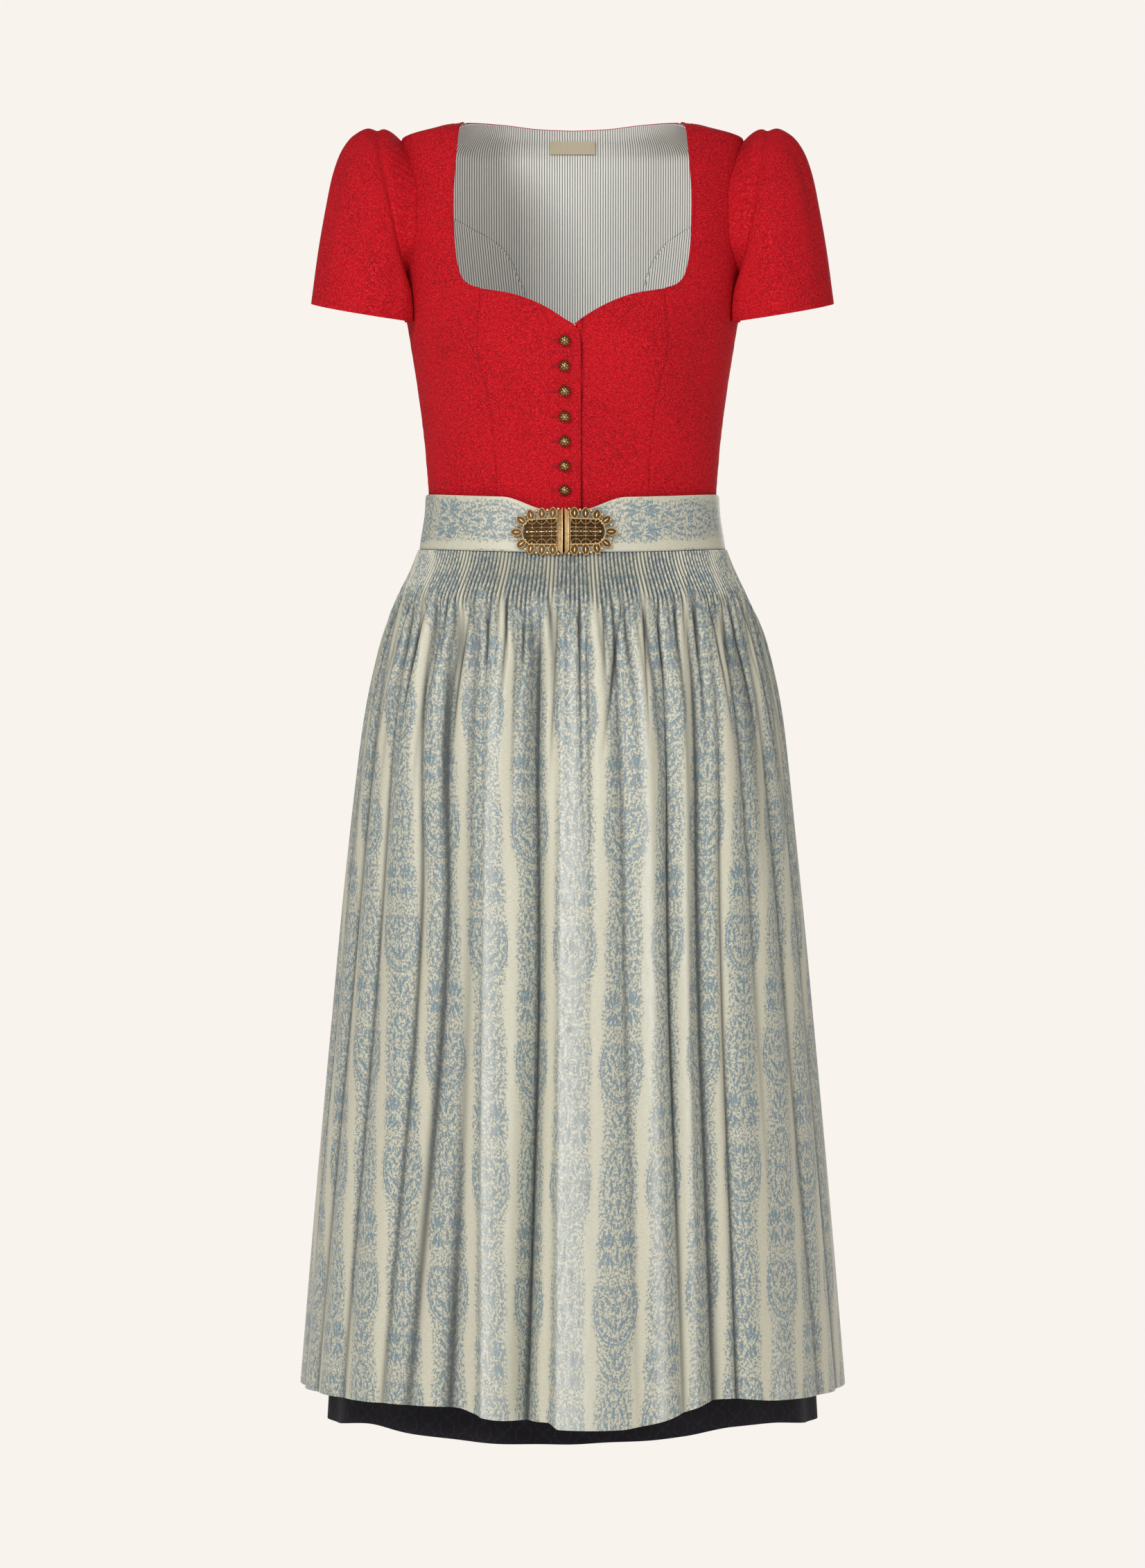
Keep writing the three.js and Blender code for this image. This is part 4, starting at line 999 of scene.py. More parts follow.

# %% [markdown]
# Each bodice panel is its own sheet. Its edges are drawn in a little where they are seamed, so a
# soft valley runs down each seam, and the cloth puckers slightly beside it. The wearer's right
# front lies over the left one, with a rounded corner at the neck.

# %% Bodice panels
# shade and shade_width paint shade along each seam; depth and width shape its valley.
SEAM_VALLEY = {"depth": 0.5, "width": 1.4, "shade": 0.24, "shade_width": 0.7}
# Painted shadow on the under front, beside the edge of the front that lies over it.
OVERLAP_SHADOW = {"x": 7.7, "width": 0.9}
TURNED_EDGE = {"height": 0.45, "from": 2.1, "to": 3.0, "roll": 0.5, "roll_width": 0.7}
PUCKER = {"depth": 0.16, "pitch": 7.0, "width": 5.0}
OVERLAP_LIFT = 1.9
OVERLAP_RISE = {"from": -46, "to": -24}
NECKLINE_SIDE = [
    (77, -158.5), (86, -155), (92.5, -148), (97, -132), (99.5, -107),
    (99.8, -76), (98, -42), (96, -15), (93, 0),
]
NECKLINE_FRONT = [
    (1, -190), (6, -186.5), (18.3, -178.5), (34.7, -170), (51, -164), (65, -161), (77, -158.5),
]
FRONT_SEAM = [(63, -356), (65, -300), (69, -250), (77, -205), (77, -158.5)]
BACK_NECK = [(93, 0), (89, 2.4), (82, 4.6), (70, 6.8), (55, 7.8), (30, 7.0), (0, 6.5)]
BACK_SEAM_RIGHT = [
    (38, -350), (38, -260), (40, -190), (43.5, -137), (51.5, -116),
    (60, -99.5), (72, -89), (87.5, -81), (102, -74), (133, -64),
]
BACK_SEAM_LEFT = [
    (38, -350), (43, -260), (55, -175), (64.5, -132), (68, -119),
    (75, -103.5), (84.5, -92), (104, -80), (133, -64),
]
ARMHOLE_FRONT = [
    (147, -18), (139, -42), (132, -72), (132, -102), (138.5, -130), (145.5, -150),
]
ARMHOLE_BACK = [
    (147, -18), (139, -42), (133, -64), (134, -102), (139, -130), (145.5, -150),
]
UPPER_EDGE = [(-7, -356), (-7, -206), (-5.6, -197), (-1, -190.6)]
LOWER_EDGE = [(-18, -356), (-18, -180.5)]
BUST_SHARE = 0.54
BACK_CORNERS = [0.76, 0.87]


def swap_ends(edges, hand):
    """A panel drawn for the viewer's right half, made for the other half if need be."""
    if hand > 0:
        return edges
    return {
        "left": edges["right"],
        "right": edges["left"],
        "bottom": backwards(edges["bottom"]),
        "top": backwards(edges["top"]),
    }


def back_seam(hand):
    return cut_line(BACK_SEAM_RIGHT if hand < 0 else BACK_SEAM_LEFT, hand, True)


def shoulder_seam(hand):
    return straight((hand * 90, SHOULDER_TIP), (hand * 90, 0))


def side_seam(hand):
    return straight((hand * 90, WAIST["side"]), (hand * 90, UNDERARM))


def front_side(hand):
    left = joined([BUST_SHARE], [cut_line(FRONT_SEAM, hand), cut_line(NECKLINE_SIDE, hand)])
    armhole = backwards(cut_line(ARMHOLE_FRONT, hand))
    right = joined([BUST_SHARE], [side_seam(hand), armhole])
    bottom = waistline(left(0.0)[0], right(0.0)[0])
    top = backwards(shoulder_seam(hand))
    edges = {
        "left": pin_ends(left, bottom(0.0), top(0.0)),
        "right": pin_ends(right, bottom(1.0), top(1.0)),
        "bottom": bottom,
        "top": top,
    }
    return swap_ends(edges, hand)


def front_middle(hand):
    rows = UPPER_EDGE if hand < 0 else LOWER_EDGE
    opening = cut_line(rows, hand)
    neck_rows = [rows[-1], *NECKLINE_FRONT[1 if hand < 0 else 0:]]
    neck = cut_line(neck_rows, hand)
    right = cut_line(FRONT_SEAM, hand)
    bottom = waistline(opening(0.0)[0], right(0.0)[0])
    edges = {
        "left": pin_ends(opening, bottom(0.0), neck(0.0)),
        "right": pin_ends(right, bottom(1.0), right(1.0)),
        "bottom": bottom,
        "top": pin_ends(neck, neck(0.0), right(1.0)),
    }
    return swap_ends(edges, hand)


def back_side(hand):
    seam = back_seam(hand)
    left = side_seam(hand)
    armhole = backwards(cut_line(ARMHOLE_BACK[2:], hand, True))
    bottom = waistline(left(0.0)[0], seam(0.0)[0])
    edges = {
        "left": left,
        "right": pin_ends(seam, bottom(1.0), seam(1.0)),
        "bottom": bottom,
        "top": pin_ends(armhole, left(1.0), seam(1.0)),
    }
    return swap_ends(edges, hand)


def back_neck(share):
    """From the viewer's right shoulder round the back of the neck to the left one."""
    share = np.asarray(share, float)
    half = cut_line(BACK_NECK, 1, True)(1 - np.abs(1 - 2 * share))
    angle = np.where(share < 0.5, half[..., 0], 360 - half[..., 0])
    return np.stack([angle, half[..., 1]], -1)


def back_middle():
    def turned(line):
        def spots(share):
            spot = line(share)
            return np.stack([spot[..., 0] % 360, spot[..., 1]], -1)

        return spots

    def edge(hand):
        armhole = backwards(cut_line(ARMHOLE_BACK[:3], hand, True))
        lines = [back_seam(hand), armhole, shoulder_seam(hand)]
        return joined(BACK_CORNERS, [turned(line) for line in lines])

    left = edge(1)
    right = edge(-1)
    bottom = waistline(left(0.0)[0], right(0.0)[0])
    return {
        "left": pin_ends(left, bottom(0.0), left(1.0)),
        "right": pin_ends(right, bottom(1.0), right(1.0)),
        "bottom": bottom,
        "top": pin_ends(back_neck, left(1.0), right(1.0)),
    }


GIRTH_STEPS = 24


def girth(angle, height, start):
    """How far round the body an angle lies from a starting angle."""
    share = np.linspace(0, 1, GIRTH_STEPS)[:, None]
    points = torso.at(start + (angle - start) * share, height[None, :])
    lengths = np.linalg.norm(np.diff(points, axis=0), axis=-1).sum(0)
    return np.sign(angle - start) * lengths


def off_neckline(spots, turned, here, across, up):
    """How far a place lies from the edge that is turned in at the neckline."""
    if turned == "top":
        edge = spots(across, np.ones_like(up))
    else:
        edge = spots(np.full_like(up, turned == "right"), up)
    off = np.linalg.norm(here - torso.at(*edge.T), axis=-1)
    return np.where((turned != "top") & (up < BUST_SHARE), 99, off)


def off_seams(spots, here, up):
    """How far a place lies from the nearer one of a panel's two long seams."""
    low = torso.at(*spots(np.zeros_like(up), up).T)
    high = torso.at(*spots(np.ones_like(up), up).T)
    return np.minimum(np.linalg.norm(here - low, axis=-1), np.linalg.norm(here - high, axis=-1))


def painted_seam_shade(edges, overlapped):
    """The painted shade along a panel's seams, and the painted shadow beside the edge that lies over
    it.
    """
    spots = patch(edges)

    def valleys(across, up):
        here = torso.at(*spots(across, up).T)
        off = off_seams(spots, here, up)
        shade = SEAM_VALLEY["shade"] * bell(off / SEAM_VALLEY["shade_width"])
        if overlapped:
            # Painted shadow beside the overlapping edge.
            shade = np.maximum(shade, bell((here[:, 0] - OVERLAP_SHADOW["x"]) / OVERLAP_SHADOW["width"]))
        return shade

    return valleys


def panel(edges, out, start, lean=0.0, lift=None, valley=True, turned=None):
    """The places and the threads of a panel of the bodice or its lining."""
    spots = patch(edges)

    def place(across, up):
        spot = spots(across, up)
        angle, height = spot[:, 0], spot[:, 1]
        here = torso.at(angle, height)
        edge = off_seams(spots, here, up)
        rise = np.zeros_like(edge)
        if valley:
            rise = rise - SEAM_VALLEY["depth"] * bell(edge / SEAM_VALLEY["width"])
            ripple = np.sin(height * 2 * np.pi / PUCKER["pitch"] + np.sin(height * 0.13) * 2)
            rise = rise + PUCKER["depth"] * ripple * bell((edge - 3) / PUCKER["width"])
        if turned:
            off = off_neckline(spots, turned, here, across, up)
            level = TURNED_EDGE["height"] * (1 - ramp(TURNED_EDGE["from"], TURNED_EDGE["to"], off))
            roll = TURNED_EDGE["roll"] * bell(off / TURNED_EDGE["roll_width"])
            rise = np.where(off < TURNED_EDGE["to"], level - roll, rise)
        if lift is not None:
            rise = rise + lift(here[:, 0])
        return torso_point(angle, height, out + rise)

    def thread(across, up):
        spot = spots(across, up)
        along = girth(spot[:, 0], spot[:, 1], start)
        return np.stack([along + lean * (spot[:, 1] + 200), spot[:, 1]], -1)

    return place, thread


def evenly(count, *corners, closer=0.0):
    """Shares from 0 to 1, with one at each corner named, and closer together at the ends."""
    bounds = [0, *corners, 1]
    shares = [0.0]
    for low, high in zip(bounds[:-1], bounds[1:]):
        steps = max(2, round(count * (high - low)))
        for i in range(1, steps + 1):
            share = i / steps
            share -= closer * math.sin(2 * math.pi * share) / (2 * math.pi)
            shares.append(mix(low, high, share))
    return shares


def overlap(x):
    return OVERLAP_LIFT * ramp(OVERLAP_RISE["from"], OVERLAP_RISE["to"], x)


PANELS = table(
    "node edges start columns corners lift turned",
    ("front_side_right", front_side(-1), 0, 56, [BUST_SHARE], None, "right"),
    ("front_side_left", front_side(1), 0, 56, [BUST_SHARE], None, "left"),
    ("front_middle_right", front_middle(-1), 0, 60, [], overlap, "top"),
    ("front_middle_left", front_middle(1), 0, 60, [], None, "top"),
    ("back_side_right", back_side(-1), -180, 56, [], None, None),
    ("back_side_left", back_side(1), 180, 56, [], None, None),
    ("back_middle", back_middle(), 180, 110, BACK_CORNERS, None, "top"),
)
PANEL_ROWS = 120
CLOSER = 0.7
sheets = {}
for row in PANELS:
    place, thread = panel(
        row["edges"], BODICE_WALL, row["start"], lift=row["lift"], turned=row["turned"]
    )
    front = row["node"].startswith("front")
    sheets[row["node"]] = cloth(
        row["node"] + "_cloth", evenly(row["columns"], closer=CLOSER),
        evenly(PANEL_ROWS, *row["corners"], closer=CLOSER),
        place, thread, BODICE_WALL - 0.1, [RED, STRIPES] if front else [RED],
        valleys=painted_seam_shade(row["edges"], row["node"] == "front_middle_left"),
    )
    dress(sheets[row["node"]], [row["node"]])

# %% [markdown]
# The lining of the back is a second set of sheets just inside the first. Its side pieces are cut
# with the grain tilted, so their stripes meet those of the middle piece at an angle, as they do
# on any fitted lining.

# %% Lining and label
LININGS = table(
    "node edges start columns corners lean",
    ("lining_side_right", back_side(-1), -180, 30, [], -0.10),
    ("lining_side_left", back_side(1), 180, 30, [], 0.10),
    ("lining_middle", back_middle(), 180, 80, BACK_CORNERS, 0.0),
)
for row in LININGS:
    place, thread = panel(row["edges"], -SEAM_GAP, row["start"], row["lean"], valley=False)
    sheets[row["node"]] = cloth(
        row["node"] + "_cloth", evenly(row["columns"]), evenly(80, *row["corners"]),
        place, thread, LINING_WALL, [STRIPES],
    )
    dress(sheets[row["node"]], [row["node"]])

LABEL = {"half_width": 20.5, "top": -0.5, "bottom": -11.0, "wall": 0.6, "gap": 1.15}
LABEL_FACE = -SEAM_GAP - LINING_WALL - LABEL["gap"]


def label_place(across, up):
    height = mix(LABEL["bottom"], LABEL["top"], up)
    x = mix(LABEL["half_width"], -LABEL["half_width"], across)
    puff = 0.25 * np.sin(np.pi * up) * np.sin(np.pi * across) ** 0.5
    return torso_point(180 - torso.angle_of(x, height), height, LABEL_FACE - puff)


def label_thread(across, up):
    return np.stack([across * 2 * LABEL["half_width"], up * (LABEL["top"] - LABEL["bottom"])], -1)


sheets["label"] = cloth(
    "label_cloth", evenly(40), evenly(10), label_place, label_thread, LABEL["wall"], [TAPE]
)
dress(sheets["label"], ["label"])

# %% [markdown]
# A sleeve is a tube that starts as the armhole and ends as the cuff. Its head is cut wider than
# the armhole and gathered into it, so fine folds fan out from the seam over the top and fade
# before the widest place. The cuff is turned up once.

# %% Sleeves
SLEEVE = table(
    "share top_x top_height under_x under_height depth",
    (0, 149, -15, 148, -150, 60),
    (0.05, 156, -9.5, 146, -152, 63),
    (0.12, 162, -7.6, 143, -155, 66),
    (0.18, 167.5, -10, 140, -157, 65),
    (0.26, 176, -7.6, 137, -160, 68),
    (0.36, 188.4, -13, 133, -162, 70),
    (0.47, 199.4, -26.4, 130, -165, 71),
    (0.58, 207.2, -48, 128, -167, 71),
    (0.7, 212.4, -74, 127, -169, 70),
    (0.85, 219.2, -113, 126, -171, 67),
    (1, 225.2, -157, 126, -173, 64),
)
SLEEVE_WALL = 1.2
CUFF_TILT = 10.5
SLEEVE_SQUARE = {"under": 0.65, "front": 0.8}
SLEEVE_CLEARANCE = 2.6
SLEEVE_SOFTNESS = 2
SLEEVE_FREE = 0.16
SLEEVE_TILTS = 0.1
SLEEVE_LENGTH = 172
SLEEVE_CUT = {"top": 197, "underarm": 25}
SLEEVE_ROUND = 430
SLEEVE_SEWN = 0.055
HEAD_GATHERS = {"count": 34, "depth": 0.55, "reach": 0.30, "gone": 0.26}
SLEEVE_CREASES = table(
    "turn share1 share2 width depth",
    (0.10, 0.25, 0.95, 0.020, -1.6),
    (0.30, 0.35, 1.10, 0.024, -2.0),
    (0.90, 0.28, 0.90, 0.022, -1.5),
    (0.68, 0.40, 1.10, 0.026, -2.1),
    (0.02, 0.20, 0.62, 0.018, -1.0),
)
ARM_FRONT = cut_line(ARMHOLE_FRONT, 1)
ARM_BACK = cut_line(ARMHOLE_BACK, 1, True)
SLEEVE_CURVES = {
    name: smooth_column(SLEEVE, "share", name) for name in SLEEVE[0] if name != "share"
}


def sleeve_middle(share, turn):
    """Turned from the top over the front to the underarm, and up the back again."""
    turn = turn % 1
    curves = {name: curve(share) for name, curve in SLEEVE_CURVES.items()}
    up = np.cos(2 * np.pi * turn)
    forward = np.sin(2 * np.pi * turn)
    squared = np.where(up > 0, up, -np.abs(up) ** SLEEVE_SQUARE["under"])
    x = (curves["top_x"] + curves["under_x"]) / 2
    z = (curves["top_height"] + curves["under_height"]) / 2
    x = x + squared * (curves["top_x"] - curves["under_x"]) / 2
    z = z + squared * (curves["top_height"] - curves["under_height"]) / 2
    y = -curves["depth"] * np.sign(forward) * np.abs(forward) ** SLEEVE_SQUARE["front"]
    z = z + CUFF_TILT * ramp(SLEEVE_TILTS, 1, share) * y / curves["depth"]
    front = ARM_FRONT(np.minimum(1, turn * 2))
    back = ARM_BACK(np.minimum(1, (1 - turn) * 2))
    spot = np.where((turn <= 0.5)[..., None], front, back)
    hole = torso_point(spot[..., 0], spot[..., 1], BODICE_WALL + 2 * SEAM_GAP + SLEEVE_WALL / 2)
    held = (1 - ramp(0, SLEEVE_FREE, share))[..., None]
    point = mix(np.stack([x, y, z], -1), hole, held)
    clear = torso.half_width_at(point[..., 1], point[..., 2]) + SLEEVE_CLEARANCE
    over = point[..., 0] - clear
    point[..., 0] = clear + (over + np.sqrt(over * over + SLEEVE_SOFTNESS**2)) / 2
    sewn = (1 - ramp(0, SLEEVE_SEWN, share))[..., None]
    return mix(point, torso_point(spot[..., 0], spot[..., 1], BODICE_WALL / 2), sewn)


def sleeve_place(hand):
    step = 0.004

    def place(across, up):
        share = 1 - up
        turn = across if hand < 0 else 1 - across
        point = sleeve_middle(share, turn)
        along = sleeve_middle(np.minimum(1, share + step), turn)
        along = along - sleeve_middle(np.maximum(0, share - step), turn)
        round_it = sleeve_middle(share, turn + step) - sleeve_middle(share, turn - step)
        from_top = np.minimum(turn % 1, 1 - turn % 1)
        fan = 1 - ramp(HEAD_GATHERS["reach"] * 0.6, HEAD_GATHERS["reach"], from_top)
        fade = ramp(0, 0.03, share) * (1 - ramp(0.05, HEAD_GATHERS["gone"], share))
        uneven = HEAD_GATHERS["count"] * turn + 0.6 * np.sin(2 * np.pi * 5 * turn + 1)
        out = HEAD_GATHERS["depth"] * fan * fade * np.cos(2 * np.pi * uneven)
        for crease in SLEEVE_CREASES:
            off = (turn % 1 - crease["turn"] + 0.5) % 1 - 0.5
            along_it = (share - crease["share1"]) / (crease["share2"] - crease["share1"])
            out += crease["depth"] * bell(off / crease["width"]) * bell((along_it - 0.5) * 2.2)
        normal = unit(np.cross(round_it, along))
        point = point + normal * (SLEEVE_WALL / 2 + out)[..., None]
        point[..., 0] *= hand
        return point

    return place


def sleeve_thread(across, up):
    """The cut is straight at the cuff, and long over the top of the arm."""
    cap = 0.5 + 0.5 * np.cos(2 * np.pi * across)
    length = mix(SLEEVE_CUT["underarm"], SLEEVE_CUT["top"], cap)
    return np.stack([across * SLEEVE_ROUND, up * length], -1)


for node, hand in (("sleeve_right", -1), ("sleeve_left", 1)):
    sheets[node] = cloth(
        node + "_cloth", evenly(250), evenly(92), sleeve_place(hand), sleeve_thread,
        SLEEVE_WALL - 0.2, [RED], tube=True,
    )
    dress(sheets[node], [node])

# %% [markdown]
# The dark skirt is two panels gathered into the waist. Its folds are full behind, where the
# apron leaves it free. A row of cloth is shared out evenly along its own length, so that a deep
# fold takes as much cloth as it needs, and the figure doesn't stretch over it.

# %% Dark skirt
DENSE = 1200
APRON_EDGE = 113
SKIRT_WALL = 0.7
SKIRT_HEM = table(
    "angle height",
    (-180, -1116), (-90, -1120), (-76, -1119.5), (-55, -1113), (-40, -1116), (-31, -1117.5),
    (-17, -1119), (0, -1118), (27.5, -1115), (40.5, -1110), (55, -1112), (76, -1119),
    (90, -1120), (180, -1116),
)
SKIRT_BACK_FOLDS = 22
BACK_FOLDS = {"from": 95, "to": 125, "grown": 0.25, "at_waist": 1.2, "at_hem": 6.5}
BACK_DRIFT = {"waves": 5, "amount": 1.3, "start": 0.6, "depth_waves": 7, "depth": 0.2}
FRONT_FOLDS = {"waves": 17, "depth": 2, "drift_waves": 4, "drift": 0.8}
WAIST_GATHERS = {"count": 92, "depth": 0.5, "gone": 0.16}
skirt_hem = smooth_column(SKIRT_HEM, "angle", "height")


def skirt_gathers(angle, down):
    turn = np.radians(np.where(angle > 180, angle - 360, angle))
    behind = ramp(math.radians(BACK_FOLDS["from"]), math.radians(BACK_FOLDS["to"]), np.abs(turn))
    grown = ramp(0, BACK_FOLDS["grown"], down)
    drift = BACK_DRIFT["amount"] * np.sin(turn * BACK_DRIFT["waves"] + BACK_DRIFT["start"])
    depth = 1 - BACK_DRIFT["depth"] + BACK_DRIFT["depth"] * np.sin(turn * BACK_DRIFT["depth_waves"])
    fold = mix(BACK_FOLDS["at_waist"], BACK_FOLDS["at_hem"], grown) * depth
    back = behind * fold * np.cos(turn * SKIRT_BACK_FOLDS * 2 + drift)
    sway = FRONT_FOLDS["drift"] * np.sin(turn * FRONT_FOLDS["drift_waves"])
    front = FRONT_FOLDS["depth"] * np.cos(turn * FRONT_FOLDS["waves"] + sway)
    return back + (1 - behind) * grown * front


def skirt_point(angle, down):
    turn = np.where(angle > 180, angle - 360, angle)
    height = mix(dipped(WAIST, turn) - SEAM_GAP, skirt_hem(turn), down)
    out = skirt_gathers(turn, down)[..., None]
    return skirt.at(turn, height) + skirt.outwards(turn, height) * out


def spread(curve, start, end, across, down):
    """Angles that share out each row of cloth evenly along its length."""
    angles = np.empty_like(across)
    dense = np.linspace(start, end, DENSE)
    for row in np.unique(down):
        here = down == row
        angles[here] = np.interp(across[here], run_of(curve(dense, np.full(DENSE, row))), dense)
    return angles


def surface_normal(curve, angle, down):
    step_round = 0.15
    step_down = 0.004
    across = curve(angle + step_round, down) - curve(angle - step_round, down)
    above = curve(angle, np.maximum(0, down - step_down))
    below = curve(angle, np.minimum(1, down + step_down))
    return unit(np.cross(across, above - below))


SKIRT_TUCKED = {"depth": 5.0, "from": 0.02, "full": 0.10, "ends": 0.45, "gone": 0.70}


def skirt_place(start, end):
    """A skirt panel. Under the apron it is drawn in a little, clear of the valleys there."""
    def place(across, up):
        down = 1 - up
        angle = spread(skirt_point, start, end, across, down)
        fine = WAIST_GATHERS["count"] * across * (end - start) / 180
        ripple = np.cos(2 * np.pi * (fine + 0.3 * np.sin(2 * np.pi * 3 * across)))
        out = 0.9 + WAIST_GATHERS["depth"] * ripple * (1 - ramp(0.02, WAIST_GATHERS["gone"], down))
        covered = 1 - ramp(APRON_EDGE - 8, APRON_EDGE, np.minimum(np.abs(angle), 360 - angle))
        tucked = ramp(SKIRT_TUCKED["from"], SKIRT_TUCKED["full"], down)
        tucked = tucked * (1 - ramp(SKIRT_TUCKED["ends"], SKIRT_TUCKED["gone"], down))
        out = out - SKIRT_TUCKED["depth"] * covered * tucked
        return skirt_point(angle, down) + surface_normal(skirt_point, angle, down) * out[:, None]

    return place


SKIRT_LENGTH = 768
for node, start, end, columns, width in (
    ("skirt_front", -89.94, 89.94, 240, 560),
    ("skirt_back", 90.06, 269.94, 560, 800),
):
    sheets[node] = cloth(
        node + "_cloth", evenly(columns), evenly(56), skirt_place(start, end),
        lambda across, up: np.stack([across * width, up * SKIRT_LENGTH], -1), SKIRT_WALL, [DARK],
    )
    dress(sheets[node], [node])

# %% [markdown]
# The apron is one wide sheet. Under the band it is drawn into fine stitched pleats, a few
# centimetres deep. Below the last stitches they let go: the ribs run together into uneven
# gathers, and those into the long folds. Each long fold is a row of the table: the angle of its
# crest or valley at the pleats, half way and at the hem, its depth at the same places, and the
# degrees over which it dies away to its left and right. Puckers are the short sharp valleys
# that start at the last stitches, run a little aslant and are gone before the knee.

# %% Apron folds
APRON_WALL = 0.4
FOLDS = table(
    "pleats middle hem upper mid low left right",
    (-101, -102, -104, -3, -6, -8, 5, 5),
    (-80, -80, -82, -3, -4, -5, 4, 5),
    (-69, -68, -69, -4, -6, -5, 4, 4),
    (-57, -55, -56, -4, -6, -5, 3, 4),
    (-46, -40, -43, -5, -7, -5, 2.5, 4),
    (-37, -32, -36, -5, -8, -6, 5, 5),
    (-27, -25, -26, -4, -3, -9, 6, 5),
    (-21, -20.5, -17.5, 2, 4, 10, 1.2, 5),
    (-15, -14, -13, -4, 1, 2, 2, 2),
    (-8.5, -8, -9.5, -7, -14, -18, 3, 1.8),
    (-2, -2.5, -2.8, 3, 6, 13, 1.2, 12),
    (3.5, 4, 4, -5, -2, 0, 2, 2),
    (11, 12, 13, -4, -5, -1, 2.5, 3),
    (17.5, 18, 18, 3, 4, 4, 3, 2.5),
    (25, 23.5, 23, -7, -10, -5, 1.6, 2.4),
    (30, 27.5, 25.5, 2, 3, 2, 2, 1.5),
    (35, 32, 31, -7, -10, -13, 3.5, 4),
    (43, 38.5, 36.5, -3, -6, -8, 1.6, 2),
    (50, 49, 47, -5, -4, 2, 3, 4),
    (62, 62, 63, -4, -5, -4, 4, 4),
    (74, 76, 76, -4, -5, -5, 4, 5),
    (99, 101, 103, -3, -6, -8, 5, 5),
)
FOLD_STARTS = 0.05
FOLD_UPPER = 0.13
FOLD_MIDDLE = 0.45
APRON_HEM = table(
    "angle height",
    (-115, -1088), (-88, -1089), (-62, -1085.5), (-38, -1083), (-24, -1081.5), (-18.5, -1086.5),
    (-14, -1089), (-5, -1090), (-2.5, -1094.5), (9, -1096), (14, -1093.5), (20, -1088.5),
    (26, -1081.5), (33, -1077), (45, -1082), (62, -1086), (88, -1089), (115, -1088),
)
apron_hem = smooth_column(APRON_HEM, "angle", "height")


def fold_curves(fold):
    """Where a fold lies and how deep it is, on its way down."""
    places = table(
        "down angle depth",
        (FOLD_UPPER, fold["pleats"], fold["upper"]),
        (FOLD_MIDDLE, fold["middle"], fold["mid"]),
        (1, fold["hem"], fold["low"]),
    )
    depths = [{"down": FOLD_STARTS, "depth": 0}, *places]
    return smooth_column(places, "down", "angle"), smooth_column(depths, "down", "depth")


FOLD_CURVES = [(fold, *fold_curves(fold)) for fold in FOLDS]
PUCKERS = table(
    "top low gone depth width",
    (-86, -90, 0.30, -4.0, 2.2), (-73, -77, 0.34, -4.5, 1.8), (-61, -65.5, 0.30, -4.5, 1.5),
    (-50, -53.5, 0.26, -4.5, 1.3), (-40.5, -43.5, 0.22, -4.5, 1.2), (-31, -33.5, 0.27, -5.0, 1.1),
    (-24.5, -23, 0.19, -4.0, 1.0), (-18.8, -18, 0.22, -4.0, 0.9), (-13, -13.5, 0.17, -3.5, 0.9),
    (-3.5, -5.2, 0.29, -4.5, 0.9), (1.5, 2.2, 0.36, -4.0, 0.9), (8.0, 8.4, 0.18, -3.5, 0.9),
    (14, 5.5, 0.27, -4.5, 1.0), (20, 18.5, 0.25, -4.5, 1.0), (31, 30.5, 0.20, -4.0, 1.0),
    (39, 36.5, 0.29, -4.5, 1.1), (46, 47, 0.25, -4.5, 1.2), (56, 59, 0.29, -4.5, 1.4),
    (67, 71, 0.34, -4.5, 1.7), (80, 84, 0.33, -4.0, 2.0), (91, 95, 0.32, -4.0, 2.2),
)
PUCKER_STARTS = {"from": 0.048, "full": 0.085}
CREASE = {"sharp": 1.5, "share": 0.55}


def pucker_lines(angle, down):
    """For each pucker, how far off its line a place lies, and how strong it is there."""
    for row in PUCKERS:
        share = np.clip((down - PUCKER_STARTS["from"]) / (row["gone"] - PUCKER_STARTS["from"]), 0, 1)
        middle = mix(row["top"], row["low"], share)
        grown = ramp(PUCKER_STARTS["from"], PUCKER_STARTS["full"], down)
        yield row, (angle - middle) / row["width"], grown * (1 - ramp(0.35, 1, share))


def creased(off):
    """The outline of a valley in cloth: a soft trough with a sharp bottom."""
    return mix(bell(off), np.exp(-CREASE["sharp"] * np.abs(off)), CREASE["share"])


def apron_folds(angle, down):
    total = np.zeros_like(angle)
    for fold, angle_at, depth_at in FOLD_CURVES:
        off = angle - angle_at(down)
        off = off / np.where(off < 0, fold["left"], fold["right"])
        depth = depth_at(down)
        total += depth * np.where(depth < 0, creased(off), bell(off))
    for row, off, strength in pucker_lines(angle, down):
        total += row["depth"] * strength * (creased(off) - 0.45 * bell(off / 2.6))
    return total


def apron_point(angle, down):
    top = dipped(BAND_BOTTOM, angle) - SEAM_GAP
    height = mix(top, apron_hem(angle), down)
    out = apron_folds(angle, down)[..., None]
    return apron.at(angle, height) + apron.outwards(angle, height) * out


# %% [markdown]
# The pleats and gathers are waves across the cloth that change places on the way down. The ribs
# end over a few millimetres, at an uneven line. Two coarser waves with drifting spacing take
# over and fade in turn.

